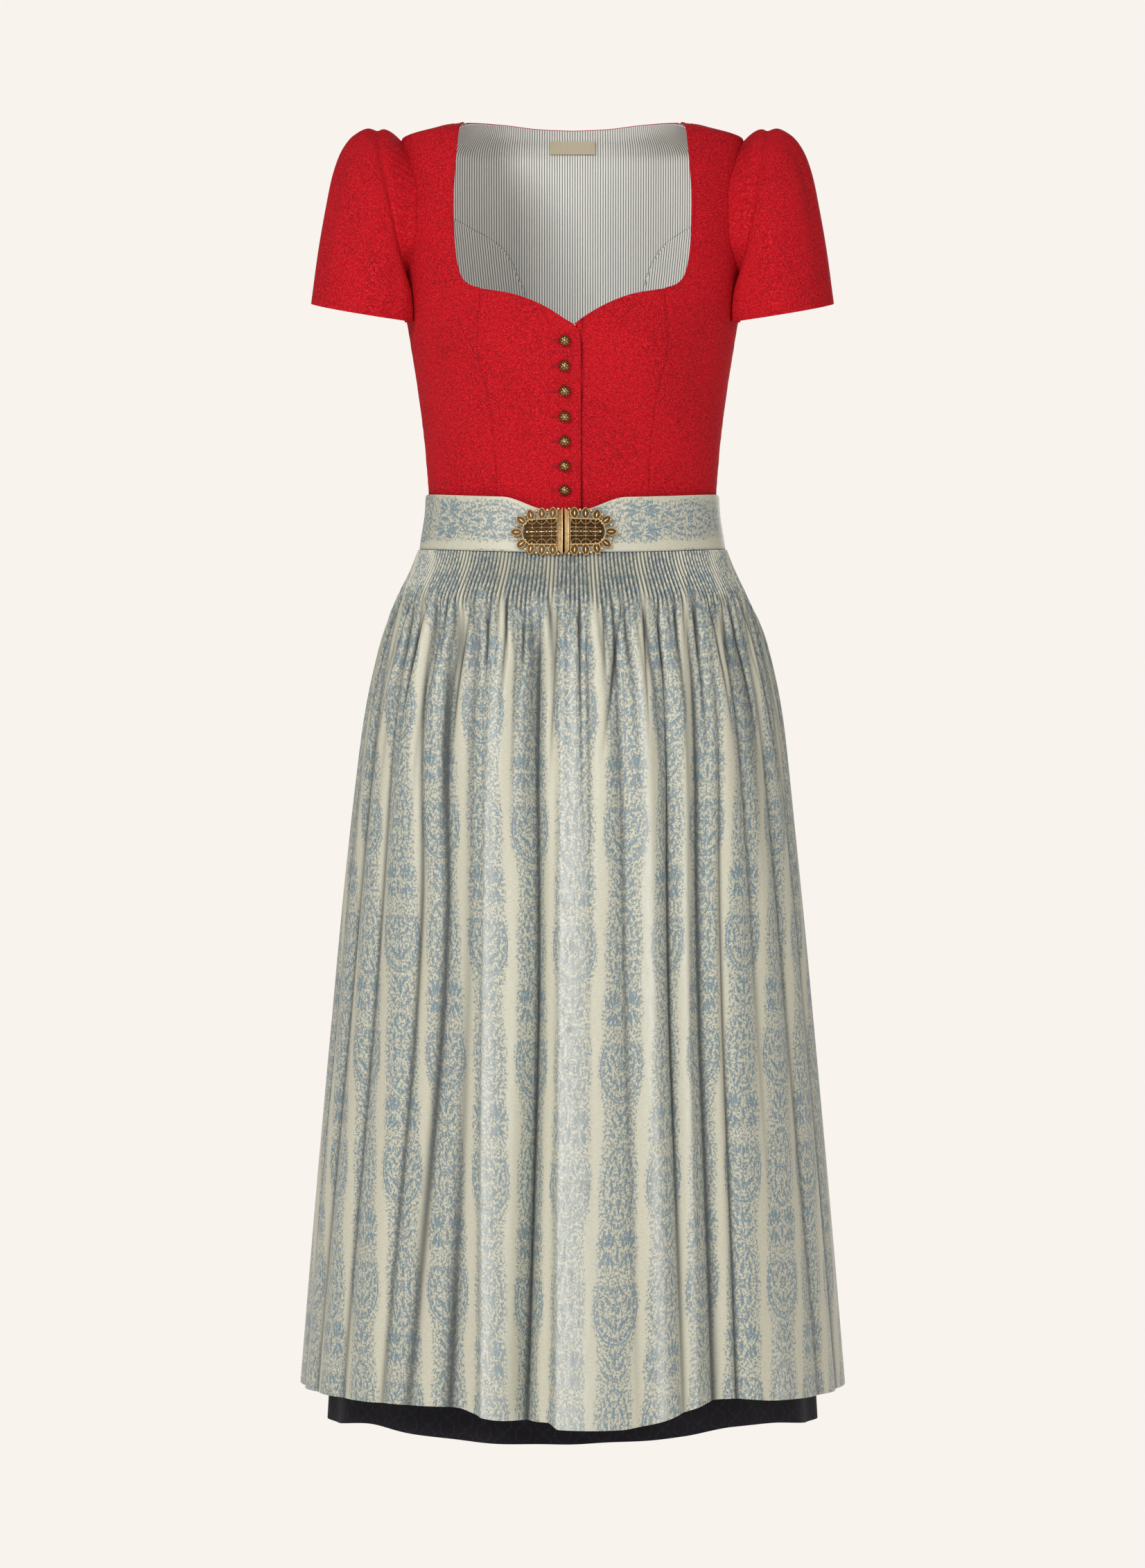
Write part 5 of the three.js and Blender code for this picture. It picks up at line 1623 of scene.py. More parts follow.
# %% Apron pleats
PLEATS = {"count": 144, "depth": 0.85, "end": 0.046, "gone": 0.070}
GATHERS = table(
    "count depth starts full fades gone drift drift_waves start",
    (72, 0.95, 0.040, 0.058, 0.070, 0.120, 0.30, 7, 1.0),
    (41, 1.50, 0.045, 0.075, 0.095, 0.190, 0.60, 5, 0.3),
    (21, 1.30, 0.055, 0.105, 0.150, 0.400, 0.80, 3, 2.1),
)
APRON_ROWS = [
    *np.linspace(0, 0.055, 11)[:-1], *np.linspace(0.055, 0.26, 24)[:-1], *np.linspace(0.26, 1, 31)
]
APRON_FLAT = {"width": 980, "length": 724, "shown_at_top": 0.58}
SLACK = table("size waves start", (0.007, 9, 0), (0.006, 23, 1))


def apron_gathers(across, down):
    """How far the pleats and gathers stand out at a thread, and the painted shade in its valley, with
    a little painted highlight on a rib.
    """
    slack = sum(
        row["size"] * np.sin(2 * np.pi * row["waves"] * across + row["start"]) for row in SLACK
    )
    rib = np.cos(2 * np.pi * PLEATS["count"] * across)
    held = 1 - ramp(PLEATS["end"], PLEATS["gone"], down + slack)
    out = PLEATS["depth"] * rib * held
    # Painted shade in the valleys between ribs, less a painted highlight on each rib.
    valley = held * (1.15 * (0.5 - 0.5 * rib) ** 1.6 - 0.35 * (0.5 + 0.5 * rib) ** 2)
    for row in GATHERS:
        drift = row["drift"] * np.sin(2 * np.pi * row["drift_waves"] * across + row["start"])
        grown = ramp(row["starts"], row["full"], down + slack)
        left = 1 - ramp(row["fades"], row["gone"], down + slack * 3)
        strength = 0.65 + 0.35 * np.sin(2 * np.pi * (row["drift_waves"] + 4) * across)
        turn = np.pi * (row["count"] * across + drift)
        crest = 2 * np.sqrt(np.cos(turn) ** 2 + 0.01) - 1
        here = grown * left * strength
        out += row["depth"] * here * crest
        # Painted shade in the valleys of each gather.
        valley += here * (0.5 - 0.5 * crest) ** 3
    return out, valley


def apron_place(across, up):
    down = 1 - up
    angle = spread(apron_point, -APRON_EDGE, APRON_EDGE, across, down)
    out = apron_gathers(across, down)[0][:, None]
    return apron_point(angle, down) + surface_normal(apron_point, angle, down) * out


# Widths and strengths of the painted shade along folds and puckers, and of the painted highlight on
# crests.
PAINTED_FOLD_SHADING = {"width": 0.26, "full": 7.5, "pucker": 0.95}


def apron_painted_shading(across, up):
    """The painted shade of each thread that lies between pleats, gathers or long folds, and painted
    highlight, down to -1, on a crest.
    """
    down = 1 - up
    angle = spread(apron_point, -APRON_EDGE, APRON_EDGE, across, down)
    valley = apron_gathers(across, down)[1]
    for fold, angle_at, depth_at in FOLD_CURVES:
        off = angle - angle_at(down)
        width = PAINTED_FOLD_SHADING["width"] * np.where(off < 0, fold["left"], fold["right"])
        depth = depth_at(down)
        valley += np.clip(-depth / PAINTED_FOLD_SHADING["full"], 0, 1) * bell(off / width)
        valley -= np.clip(depth / PAINTED_FOLD_SHADING["full"], 0, 0.7) * bell(off / (2 * width))
    for row, off, strength in pucker_lines(angle, down):
        valley += PAINTED_FOLD_SHADING["pucker"] * strength * bell(off / (2 * PAINTED_FOLD_SHADING["width"]))
    return np.clip(valley, -1, 1)


def apron_thread(across, up):
    """The flat cloth. Higher up, the middle of each gather is hidden and takes no width."""
    shown = mix(APRON_FLAT["shown_at_top"], 1, (1 - up) ** 0.6)
    width = (across - 0.5) * APRON_FLAT["width"] * shown
    return np.stack([width, up * APRON_FLAT["length"]], -1)


sheets["apron_panel"] = cloth(
    "apron_panel_cloth", evenly(720), [1 - down for down in reversed(APRON_ROWS)],
    apron_place, apron_thread, APRON_WALL, [APRON_BROCADE], valleys=apron_painted_shading,
)
dress(sheets["apron_panel"], ["apron_panel"])

# %% [markdown]
# The band is a strip that runs round the back from one half of the buckle to the other.
# Close to the buckle it is drawn together, and its creases fan out from there.

# %% Apron band
BAND_WALL = 1.4
BAND_DROP = 11
BAND_GAP = 3.2
BAND_GATHERS = {"full": 12, "end": 54}
BAND_FOLDS = {"coarse": 0.8, "coarse_waves": 3, "fine": 0.45, "fine_waves": 8, "lean": 0.05}
BAND_ROLL = {"depth": 0.5, "width": 0.03}
BAND_SHADE = {"full": 20, "creases": 0.8, "seam": 0.6, "seam_width": 0.02}
BUCKLE_MIDDLE = {"x": -7.3, "height": -362}
BAND_CENTRE = float(band.angle_of(BUCKLE_MIDDLE["x"], BUCKLE_MIDDLE["height"]))
BAND_FLAT = {"width": 735, "length": 48}


def band_turn(across, full):
    """The angle at a thread, how far off the buckle it lies, and how much it is drawn in."""
    angle = mix(BAND_CENTRE + BAND_GAP, BAND_CENTRE - BAND_GAP + 360, across)
    turn = np.where(angle > 180, angle - 360, angle)
    off = np.abs(band.at(turn, BUCKLE_MIDDLE["height"])[:, 0] - BUCKLE_MIDDLE["x"])
    near = np.where(np.abs(turn) < 90, 1 - ramp(full, BAND_GATHERS["end"], off), 0)
    return turn, off, near


def band_waves(up, off):
    """The coarse and the fine creases, which fan out from the buckle."""
    coarse = np.sin(up * BAND_FOLDS["coarse_waves"] * np.pi)
    fine = np.sin(up * BAND_FOLDS["fine_waves"] * np.pi + off * BAND_FOLDS["lean"])
    return coarse, fine


def band_place(across, up):
    turn, off, near = band_turn(across, BAND_GATHERS["full"])
    height = mix(dipped(BAND_BOTTOM, turn), dipped(BAND_TOP, turn) - BAND_DROP * near, up)
    coarse, fine = band_waves(up, off)
    fan = coarse * BAND_FOLDS["coarse"] + fine * BAND_FOLDS["fine"]
    edges = bell(up / BAND_ROLL["width"]) + bell((1 - up) / BAND_ROLL["width"])
    rolled = BAND_ROLL["depth"] * edges
    out = BAND_WALL + near * fan - rolled
    return band.at(turn, height) + band.outwards(turn, height) * out[:, None]


def band_painted_shade(across, up):
    """The shade of the creases beside the buckle and of the seam under the band."""
    turn, off, near = band_turn(across, BAND_SHADE["full"])
    coarse, fine = band_waves(up, off)
    crease = np.clip(-coarse - fine, 0, 2) / 2
    seam = BAND_SHADE["seam"] * bell(up / BAND_SHADE["seam_width"])
    return np.clip(near * crease * BAND_SHADE["creases"] + seam, 0, 1)


def band_thread(across, up):
    return np.stack([across * BAND_FLAT["width"], (up - 0.5) * BAND_FLAT["length"]], -1)


band_columns = [*np.linspace(0, 0.11, 40)[:-1], *np.linspace(0.11, 0.89, 241)]
band_columns = [*band_columns, *np.linspace(0.89, 1, 40)[1:]]
sheets["apron_band"] = cloth(
    "apron_band_cloth", band_columns, evenly(36), band_place, band_thread,
    BAND_WALL - 0.1, [BAND_BROCADE], valleys=band_painted_shade,
)
dress(sheets["apron_band"], ["apron_band"])

# %% [markdown]
# Sewing shows on a dirndl as short threads that lie half sunk in the cloth. Each stitch is a thin
# cone shape with five sides. It is repeated along a route, so that a whole seam is one mesh.

# %% Stitches
def thread_frame(middle, direction):
    turn = Vector(direction).to_track_quat("Z", "Y").to_matrix().to_4x4()
    return Matrix.Translation(Vector(middle) * MM) @ turn


def lay_stitch(mesh, middle, direction, length, radius):
    bmesh.ops.create_cone(
        mesh, cap_ends=True, segments=5, radius1=radius * MM, radius2=radius * MM,
        depth=length * MM, matrix=thread_frame(middle, direction),
    )


def route_length(points):
    return float(np.linalg.norm(np.diff(points, axis=0), axis=-1).sum())


def stitch_route(mesh, points, stitch):
    """Running stitches along a line of close points."""
    count = max(1, int(route_length(points) / stitch["pitch"]))
    run = run_of(points)
    half = 0.5 / count * stitch["length"] / stitch["pitch"]
    for i in range(count):
        share = (i + 0.5) / count
        start, middle, end = (
            np.array([np.interp(place, run, points[:, axis]) for axis in range(3)])
            for place in (share - half, share, share + half)
        )
        lay_stitch(mesh, middle, end - start, stitch["length"], stitch["radius"])
    return count


def on_torso(line, out, start=0.0, end=1.0, points=160):
    spots = line(np.linspace(start, end, points))
    return torso_point(spots[:, 0], spots[:, 1], out)


TOPSTITCH = {"inside": 2.6, "above_cuff": 3.6, "pitch": 2.9, "length": 2.2, "radius": 0.24}
SEAM_STITCH = {"beside": 1.4, "pitch": 2.3, "length": 1.5, "radius": 0.22}


def topstitching():
    mesh = bmesh.new()
    count = 0
    for hand in (-1, 1):
        front = cut_line([NECKLINE_FRONT[1 if hand < 0 else 0], *NECKLINE_FRONT[2:]], hand)
        side = cut_line(NECKLINE_SIDE, hand)
        inside = hand * TOPSTITCH["inside"]
        for line in (front, side):
            points = on_torso(aside(line, inside), BODICE_WALL, 0.02, 0.985)
            if line is front:
                points[:, 1] -= overlap(points[:, 0]) if hand < 0 else 0
            count += stitch_route(mesh, points, TOPSTITCH)
    neck = on_torso(aside(back_neck, TOPSTITCH["inside"]), BODICE_WALL, 0.01, 0.99, 300)
    count += stitch_route(mesh, neck, TOPSTITCH)
    print("topstitches:", count)
    return finished("neckline_stitches", mesh, [RED_THREAD])


def cuff_stitching(hand):
    mesh = bmesh.new()
    across = np.linspace(0, 1, 300)
    up = np.full(300, TOPSTITCH["above_cuff"] / SLEEVE_LENGTH)
    points = sleeve_place(hand)(across, up)
    count = stitch_route(mesh, points, TOPSTITCH)
    print("cuff stitches:", count)
    return finished(("cuff_stitches_right", "cuff_stitches_left")[hand > 0], mesh, [RED_THREAD])


def lining_stitching():
    mesh = bmesh.new()
    inside = -SEAM_GAP - LINING_WALL
    count = 0
    for hand in (-1, 1):
        line = aside(back_seam(hand), hand * SEAM_STITCH["beside"])
        points = on_torso(line, inside, 0.02, 0.98, 300)
        count += stitch_route(mesh, points, SEAM_STITCH)
    print("lining stitches:", count)
    return finished("lining_stitches", mesh, [GREY_THREAD])


dress(topstitching(), [])
dress(cuff_stitching(-1), [])
dress(cuff_stitching(1), [])
dress(lining_stitching(), [])

# %% [markdown]
# A worked buttonhole is a slit bound with close stitches that lie across it. It runs from under
# the button away from the edge, so that the pull of the closing ends at its round end.

# %% Buttonholes
BUTTON = {"count": 7, "radius": 4.8, "top": -204, "pitch": 20.4, "line": -6.4, "gap": 0.5}
BUTTONHOLE = {"from": -6, "to": -17.5, "half_height": 1.3, "pitch": 0.62, "radius": 0.34}


def button_height(i):
    return BUTTON["top"] - i * BUTTON["pitch"]


def buttonholes():
    mesh = bmesh.new()
    length = abs(BUTTONHOLE["to"] - BUTTONHOLE["from"])
    count = int(length / BUTTONHOLE["pitch"])
    for i in range(BUTTON["count"]):
        xs = np.linspace(BUTTONHOLE["from"], BUTTONHOLE["to"], count)
        heights = np.full(count, button_height(i))
        out = BODICE_WALL + OVERLAP_LIFT + 0.05
        points = torso_point(torso.angle_of(xs, heights), heights, np.full(count, out))
        for point in points:
            lay_stitch(mesh, point, (0, 0, 1), 2 * BUTTONHOLE["half_height"], BUTTONHOLE["radius"])
    print("buttonhole stitches:", BUTTON["count"] * count)
    return finished("buttonhole_stitches", mesh, [RED_THREAD])


dress(buttonholes(), [])

# %% [markdown]
# The buttons are cast: a high dome covered in small raised bosses, on a flat rim. One starts as
# a sphere with even triangles. Its vertices are pushed out where a boss is, and the same
# push is kept as the attribute that rubs the metal bright.

# %% Buttons
BUTTON_SHAPE = {"height": 1.104, "cut": 0.15, "boss_width": 0.6, "boss_rise": 0.07}
BOSS_ROWS = table("tilt count radius", (0, 1, 17), (32, 6, 12), (58, 11, 10), (80, 14, 9))


def bosses():
    """The directions of the bosses on the dome, with the angle that each one covers."""
    found = []
    for row in BOSS_ROWS:
        tilt = math.radians(row["tilt"])
        for i in range(row["count"]):
            turn = 2 * math.pi * (i + row["tilt"] * 0.013) / row["count"]
            flat = math.sin(tilt)
            place = Vector((flat * math.cos(turn), flat * math.sin(turn), math.cos(tilt)))
            found.append((place, math.radians(row["radius"])))
    return found


def cast_button(name, seat, facing, spin):
    mesh = bmesh.new()
    bmesh.ops.create_icosphere(mesh, subdivisions=5, radius=1)
    bmesh.ops.bisect_plane(
        mesh, geom=mesh.verts[:] + mesh.edges[:] + mesh.faces[:],
        plane_co=(0, 0, -BUTTON_SHAPE["cut"]), plane_no=(0, 0, 1), clear_inner=True,
    )
    rim = [edge for edge in mesh.edges if edge.is_boundary]
    bmesh.ops.contextual_create(mesh, geom=rim)
    rubbed = mesh.verts.layers.float.new("rubbed")
    places = bosses()
    for vert in mesh.verts:
        way = vert.co.normalized()
        swell = sum(
            math.exp(-((way.angle(place) / (BUTTON_SHAPE["boss_width"] * wide)) ** 2))
            for place, wide in places
        )
        swell = min(1.0, swell) if way.z > -0.1 else 0.0
        vert[rubbed] = 0.40 + 0.60 * swell
        vert.co *= BUTTON["radius"] * (1 + (swell - 0.5) * BUTTON_SHAPE["boss_rise"])
        raised = vert.co.z + BUTTON_SHAPE["cut"] * BUTTON["radius"]
        vert.co.z = raised * BUTTON_SHAPE["height"]
    turn = Vector(facing).to_track_quat("Z", "Y").to_matrix().to_4x4()
    place = Matrix.Translation(Vector(seat) * MM) @ turn @ Matrix.Rotation(spin, 4, "Z")
    bmesh.ops.transform(mesh, matrix=place @ Matrix.Scale(MM, 4), verts=mesh.verts)
    bmesh.ops.recalc_face_normals(mesh, faces=mesh.faces)
    return finished(name, mesh, [BRASS])


for i in range(BUTTON["count"]):
    height = np.array([button_height(i)])
    angle = torso.angle_of(np.array([BUTTON["line"]]), height)
    seat = torso_point(angle, height, BODICE_WALL + OVERLAP_LIFT + BUTTON["gap"])[0]
    facing = seat - torso_point(angle, height, 0.0)[0]
    button = cast_button(f"button_{i + 1}_cast", seat, facing, i * 0.9)
    dress(button, [f"button_{i + 1}"])
print("buttons:", BUTTON["count"], "of", len(button.data.polygons), "faces")

# %% [markdown]
# The buckle is filigree: beaded wire bent into pointed loops round a long lozenge each, with
# larger balls in the gaps between them. Inside the border run scallops of plain wire and a
# lattice of short bars, and a flat upright bar closes each half. A casting of such work shows every
# bead, so the beads are real spheres with few faces, and the wires are thin rods.

# %% Buckle tools
BUCKLE_TILTS = {-1: -6.0, 1: 2.8}
BUCKLE_LIFT = 3.1
BUCKLE_LEAN = -9
BUCKLE_BASE = 1.0


def bead(mesh, out, up, radius, rise, stretch=(1, 1, 1), turn=0.0):
    """A ball, or a stretched one, at a place on the plate."""
    place = Matrix.Translation((out, up, rise)) @ Matrix.Rotation(math.radians(turn), 4, "Z")
    matrix = place @ Matrix.Diagonal((*stretch, 1))
    bmesh.ops.create_icosphere(mesh, subdivisions=2, radius=radius, matrix=matrix)


def rod(mesh, points, radius, rise):
    """A thin wire along points on the plate, as short six-sided rods."""
    for (out1, up1), (out2, up2) in zip(points[:-1], points[1:]):
        start, end = Vector((out1, up1, rise)), Vector((out2, up2, rise))
        turn = (end - start).to_track_quat("Z", "Y").to_matrix().to_4x4()
        bmesh.ops.create_cone(
            mesh, cap_ends=True, segments=6, radius1=radius, radius2=radius,
            depth=(end - start).length * 1.08,
            matrix=Matrix.Translation((start + end) / 2) @ turn,
        )


def beads_along(mesh, points, pitch, radius, rise):
    """Beads at an even pitch along a line of points."""
    points = np.array(points, float)
    run = run_of(points)
    count = max(2, round(route_length(points) / pitch))
    for i in range(count + 1):
        out, up = (float(np.interp(i / count, run, points[:, axis])) for axis in range(2))
        bead(mesh, out, up, radius, rise)


def loop_points(out, up, turn, length, half_width):
    """A pointed loop: round at its foot and drawn to a point at its tip."""
    points = []
    for i in range(25):
        share = i / 24 * 2 * math.pi
        along = -length / 2 * math.cos(share)
        across = half_width * math.sin(share) * math.cos(share / 4 - math.pi / 4) ** 2 * 1.3
        along, across = (along, across * (1 - 0.45 * max(0, along / (length / 2))))
        way = math.radians(turn)
        points.append((
            out + along * math.cos(way) - across * math.sin(way),
            up + along * math.sin(way) + across * math.cos(way),
        ))
    return points


# %% [markdown]
# The layout of one half is a table for each kind of part. Places are counted from the middle of
# the buckle outwards and up, in millimetres. The lower edge repeats the upper one.

# %% Buckle halves
LOOPS = table(
    "out up turn",
    (9.0, 15.6, 93), (18.2, 15.4, 90), (27.6, 14.4, 78), (35.4, 9.8, 40),
)
TIP_LOOP = {"out": 39.6, "up": 0.0, "turn": 0}
BALLS = table(
    "out up radius", (4.3, 19.2, 1.45), (13.6, 18.4, 1.4), (22.9, 17.9, 1.4),
    (32.2, 14.6, 1.4), (39.6, 6.0, 1.35),
)
SCALLOPS = table("out radius", (10.2, 4.0), (18.4, 4.0), (26.4, 3.8))
LATTICE_BALLS = table(
    "out up radius", (6.4, 0.0, 0.85), (14.3, 0.0, 0.95), (22.4, 0.0, 0.95), (30.6, 0.0, 1.35),
    (10.2, 3.7, 0.8), (18.4, 3.7, 0.8), (26.4, 3.6, 0.8),
)
LOOP_SIZE = {"length": 9.6, "half_width": 3.1, "bead": 0.64, "pitch": 1.28}
WIRE = {"fine": 0.38, "loop": 0.42, "bar": 0.45, "spine": 0.6, "border": 0.85}
LATTICE = {"bars": (10.2, 18.4, 26.4), "diamonds": (6.4, 14.3, 22.4), "half": 4.0, "rise": 3.7}
HINGE = {"inner": 0.7, "width": 3.6, "half_height": 20.0, "thick": 1.7, "cut": 3.2}


def loop_with_lozenge(mesh, out, up, turn):
    points = loop_points(out, up, turn, LOOP_SIZE["length"], LOOP_SIZE["half_width"])
    rod(mesh, points, WIRE["loop"], BUCKLE_BASE)
    beads_along(mesh, points[:-1], LOOP_SIZE["pitch"], LOOP_SIZE["bead"], BUCKLE_BASE + 0.35)
    bead(mesh, out, up, 1.0, BUCKLE_BASE + 0.2, (2.9, 0.85, 1.0), turn)
    # A dark disc under each loop, which stands in for the shade inside it.
    shadow_disc = Matrix.Translation((out, up, BUCKLE_BASE - 0.35))
    shadow_disc = shadow_disc @ Matrix.Rotation(math.radians(turn), 4, "Z")
    bmesh.ops.create_cone(
        mesh, cap_ends=True, segments=14, radius1=1, radius2=1, depth=0.5,
        matrix=shadow_disc @ Matrix.Diagonal((4.4, 2.7, 1, 1)),
    )


def scallop(mesh, out, up_sign, radius):
    """A plain wire arc that hangs from the border towards the middle."""
    points = []
    for i in range(11):
        turn = math.pi * i / 10
        points.append((out + radius * math.cos(turn), up_sign * (10.4 - radius * math.sin(turn))))
    rod(mesh, points, WIRE["loop"], BUCKLE_BASE + 0.25)


def hinge_bar(mesh):
    """The flat upright bar at the split, with its outer corners cut off."""
    bmesh.ops.create_cube(mesh, size=1, matrix=(
        Matrix.Translation((HINGE["inner"] + HINGE["width"] / 2, 0, HINGE["thick"] / 2 + 0.2))
        @ Matrix.Diagonal((HINGE["width"], 2 * HINGE["half_height"], HINGE["thick"], 1))
    ))
    far = HINGE["inner"] + HINGE["width"] * 0.9
    corners = [edge for edge in mesh.edges if all(
        vert.co.x > far and abs(vert.co.y) > HINGE["half_height"] * 0.9 for vert in edge.verts
    )]
    bmesh.ops.bevel(
        mesh, geom=corners, offset=HINGE["cut"], segments=1, profile=0.5,
        affect="EDGES", material=-1,
    )
    bmesh.ops.bevel(
        mesh, geom=mesh.edges[:], offset=0.3, segments=2, profile=0.5,
        affect="EDGES", material=-1,
    )


def border(side):
    """The inner border, from the hinge bar out to the tip."""
    return [(5.6, 11.2 * side), (29.0, 10.6 * side), (33.4, 6.6 * side), (35.2, 0.0)]


def buckle_half(name, hand):
    mesh = bmesh.new()
    hinge_bar(mesh)
    # A dark plate behind the lattice, which stands in for the shade behind the filigree.
    bmesh.ops.create_cube(mesh, size=1, matrix=(
        Matrix.Translation((18.6, 0, 0.3)) @ Matrix.Diagonal((27.5, 21, 0.4, 1))
    ))
    for side in (-1, 1):
        for row in LOOPS:
            loop_with_lozenge(mesh, row["out"], side * row["up"], side * row["turn"])
        for row in BALLS:
            bead(mesh, row["out"], side * row["up"], row["radius"], BUCKLE_BASE + 0.5)
        for row in SCALLOPS:
            scallop(mesh, row["out"], side, row["radius"])
        for row in LATTICE_BALLS:
            if row["up"] > 0 or side > 0:
                bead(mesh, row["out"], side * row["up"], row["radius"], BUCKLE_BASE + 0.5)
        rod(mesh, border(side), WIRE["border"], BUCKLE_BASE)
        beads_along(mesh, border(side), 1.36, 0.68, BUCKLE_BASE + 0.6)
        rod(mesh, [(4.2, side * 3.7), (30.0, side * 3.5)], WIRE["bar"], BUCKLE_BASE)
    loop_with_lozenge(mesh, TIP_LOOP["out"], TIP_LOOP["up"], TIP_LOOP["turn"])
    beads_along(mesh, [(5.3, -17.5), (5.3, 17.5)], 1.30, 0.60, BUCKLE_BASE + 0.5)
    rod(mesh, [(5.3, -18), (5.3, 18)], WIRE["spine"], BUCKLE_BASE - 0.1)
    for out in LATTICE["bars"]:
        rod(mesh, [(out, -10.6), (out, 10.6)], WIRE["bar"], BUCKLE_BASE)
    for start in LATTICE["diamonds"]:
        middle = start + LATTICE["half"]
        end = start + 2 * LATTICE["half"]
        bead(mesh, middle, 0, 0.95, BUCKLE_BASE + 0.2, (3.3, 0.75, 0.9))
        for side in (-1, 1):
            corner = (middle, side * LATTICE["rise"])
            rod(mesh, [(start, 0), corner, (end, 0)], WIRE["fine"], BUCKLE_BASE)
    rubbed = mesh.verts.layers.float.new("rubbed")
    for vert in mesh.verts:
        on_hinge = vert.co.x < HINGE["inner"] + HINGE["width"]
        vert[rubbed] = 0.82 if on_hinge else min(1.0, max(0.0, (vert.co.z - 0.55) / 1.35))
    seat = band.at(BAND_CENTRE, BUCKLE_MIDDLE["height"])
    middle = Vector((BUCKLE_MIDDLE["x"], seat[1] - BAND_WALL - BUCKLE_LIFT, BUCKLE_MIDDLE["height"]))
    stand = (
        Matrix.Translation(middle * MM)
        @ Matrix.Rotation(math.radians(BUCKLE_LEAN), 4, "X")
        @ Matrix.Rotation(math.radians(BUCKLE_TILTS[hand]), 4, "Z")
        @ Matrix.Rotation(math.pi / 2, 4, "X")
    )
    if hand < 0:
        stand = stand @ Matrix.Rotation(math.pi, 4, "Z")
    bmesh.ops.transform(mesh, matrix=stand @ Matrix.Scale(MM, 4), verts=mesh.verts)
    bmesh.ops.recalc_face_normals(mesh, faces=mesh.faces)
    return finished(name, mesh, [BRASS], math.radians(40))


for node, hand in (("buckle_right", -1), ("buckle_left", 1)):
    half = buckle_half(node + "_filigree", hand)
    dress(half, [node])
    print(node, "faces:", len(half.data.polygons))

# %% [markdown]
# The table gives how each sheet is held and what it rests on, and the size that each one was cut
# to is looked up. The width and length are those of its thread map, which is the flat cloth, and so
# is the area, because no panel of a fitted bodice is a rectangle.

# %% Sheets of cloth
HOLDING = table(
    "node held rests_on",
    ("front_side_right", "hung", ["back_middle"]),
    ("front_side_left", "hung", ["back_middle"]),
    ("front_middle_right", "hung", ["front_side_right"]),
    ("front_middle_left", "hung", ["front_side_left"]),
    ("back_side_right", "hung", ["back_middle"]),
    ("back_side_left", "hung", ["back_middle"]),
    ("back_middle", "hung", []),
    ("lining_side_right", "laid", ["back_side_right"]),
    ("lining_side_left", "laid", ["back_side_left"]),
    ("lining_middle", "laid", ["back_middle"]),
    ("label", "laid", ["lining_middle"]),
    ("sleeve_right", "gathered", ["front_side_right", "back_middle"]),
    ("sleeve_left", "gathered", ["front_side_left", "back_middle"]),
    ("skirt_front", "gathered", ["front_middle_right"]),
    ("skirt_back", "gathered", ["back_middle"]),
    ("apron_panel", "gathered", ["apron_band"]),
    ("apron_band", "hung", ["buckle_right", "buckle_left"]),
)
for row in HOLDING:
    cut = CUTS[row["node"] + "_cloth"]
    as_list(row["rests_on"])
print("sheets declared:", len(HOLDING))

# %% [markdown]
# The studio is plain: a pale floor far enough below the hem to hold no hard shadow, one large
# soft light in front to the left, a weaker one to the right, and an even pale world. The camera
# stands three metres away at the height of the skirt's middle, as the photographer's did.

# %% Studio
PALE = (0.948, 0.896, 0.855)
FLOOR_HEIGHT = -1.42
LIGHTS = table(
    "name place size energy",
    ("key", (-1.35, -2.7, 0.8), 0.9, 52),
    ("fill", (1.2, -2.8, 0.3), 1.2, 19),
    ("back", (0.4, 2.6, 0.5), 1.6, 26),
)
LIGHTS_AIM = (0, 0, -0.55)


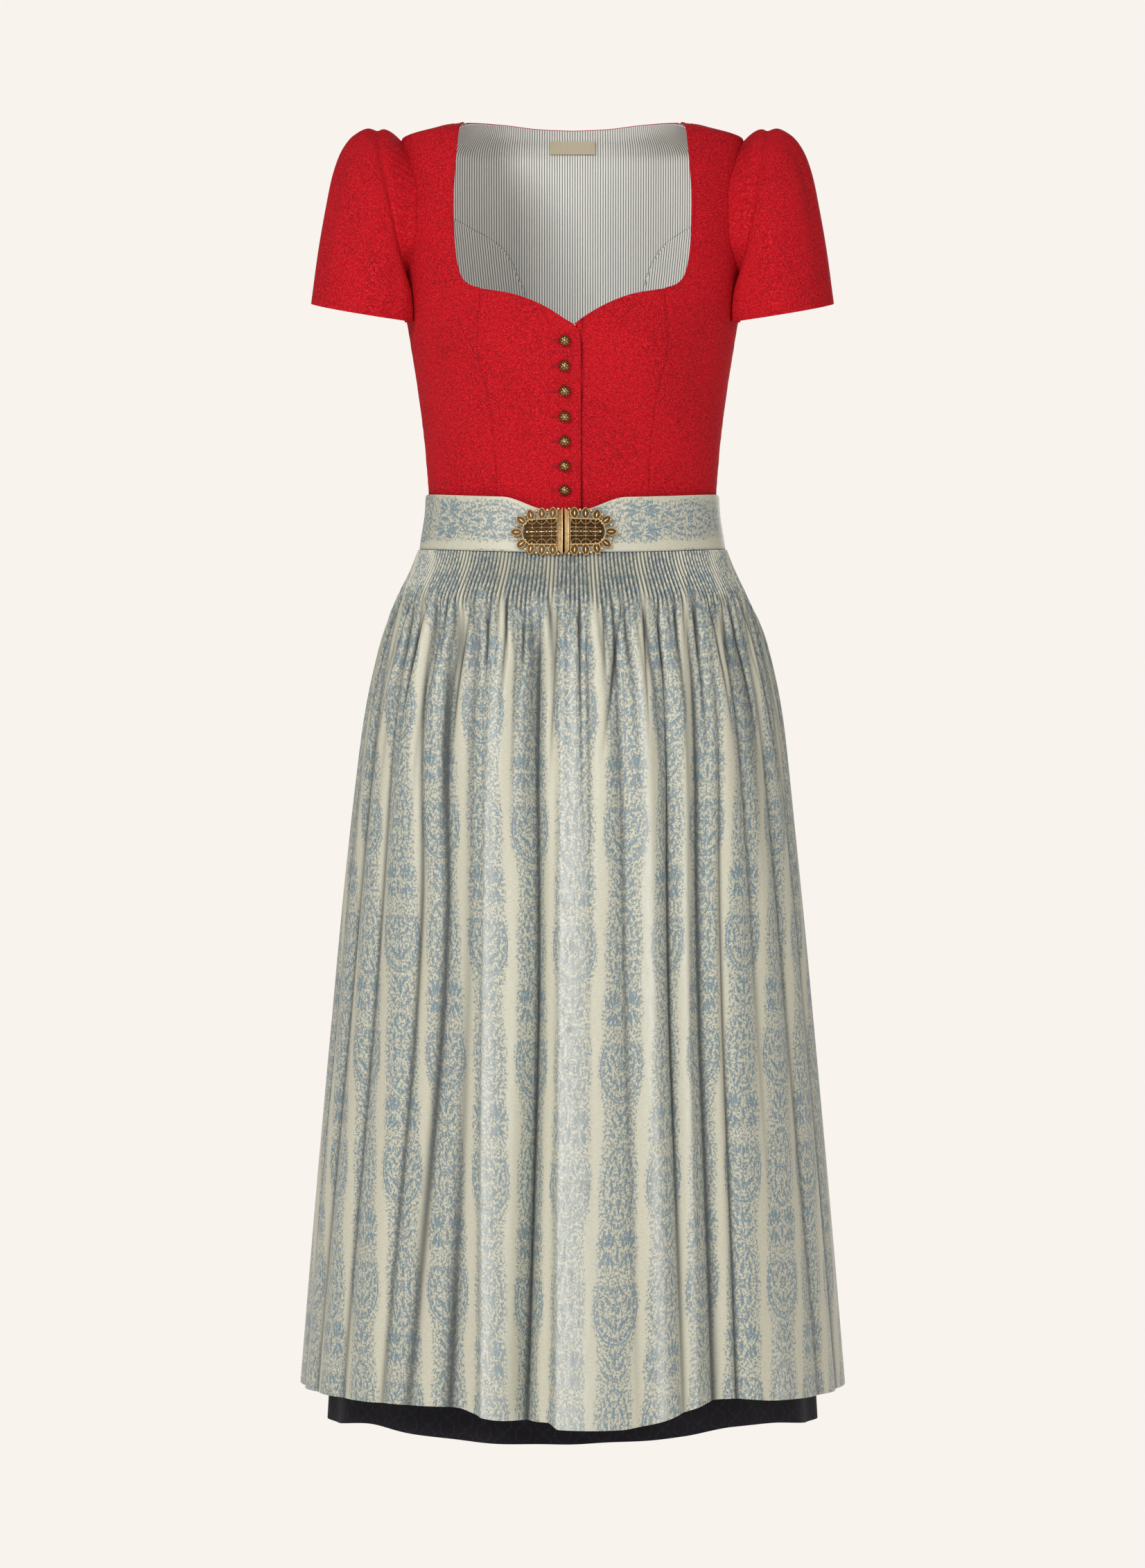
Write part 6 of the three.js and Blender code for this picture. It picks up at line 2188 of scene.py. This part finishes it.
def pale_floor():
    mesh = bmesh.new()
    bmesh.ops.create_grid(mesh, x_segments=1, y_segments=1, size=6)
    bmesh.ops.translate(mesh, vec=(0, 0, FLOOR_HEIGHT), verts=mesh.verts)
    finish = bpy.data.materials.new("pale_floor")
    finish.use_nodes = True
    tree = finish.node_tree
    tree.nodes.clear()
    glow = tree.nodes.new("ShaderNodeEmission")
    glow.inputs["Color"].default_value = (*PALE, 1)
    output = tree.nodes.new("ShaderNodeOutputMaterial")
    tree.links.new(glow.outputs[0], output.inputs["Surface"])
    floor = finished("floor", mesh, [finish])


def soft_light(name, place, size, energy):
    lamp = bpy.data.lights.new(name, "AREA")
    lamp.size = size
    lamp.energy = energy
    holder = bpy.data.objects.new(name, lamp)
    bpy.context.scene.collection.objects.link(holder)
    holder.location = place
    aim = Vector(LIGHTS_AIM) - Vector(place)
    holder.rotation_mode = "QUATERNION"
    holder.rotation_quaternion = aim.to_track_quat("-Z", "Y")


def pale_world():
    """Shown as the pale backdrop, and dimmer as a light."""
    world = bpy.data.worlds.new("studio")
    bpy.context.scene.world = world
    world.use_nodes = True
    tree = world.node_tree
    tree.nodes.clear()
    path = tree.nodes.new("ShaderNodeLightPath")
    start = Wire(tree, path.outputs["Is Camera Ray"])
    light = start.node("Background", {}, {"Color": (1.0, 0.985, 0.97), "Strength": 0.31})
    shown = start.node("Background", {}, {"Color": PALE, "Strength": 1.0})
    both = tree.nodes.new("ShaderNodeMixShader")
    tree.links.new(start.socket, both.inputs[0])
    tree.links.new(light.socket, both.inputs[1])
    tree.links.new(shown.socket, both.inputs[2])
    output = tree.nodes.new("ShaderNodeOutputWorld")
    tree.links.new(both.outputs[0], output.inputs["Surface"])


pale_floor()
pale_world()
for row in LIGHTS:
    soft_light(row["name"], row["place"], row["size"], row["energy"])

# %% Camera
CAMERA_DISTANCE = 3.0
CAMERA_HEIGHT = -0.573
LENS = {"sensor": 36.0, "focal": 79.58}


def set_camera():
    data = bpy.data.cameras.new("camera")
    data.sensor_width = LENS["sensor"]
    data.lens = LENS["focal"]
    holder = bpy.data.objects.new("camera", data)
    bpy.context.scene.collection.objects.link(holder)
    holder.location = (0, -CAMERA_DISTANCE, CAMERA_HEIGHT)
    holder.rotation_euler = (math.pi / 2, 0, 0)
    bpy.context.scene.camera = holder


set_camera()
bpy.context.scene.view_settings.view_transform = "Standard"
print("studio ready")
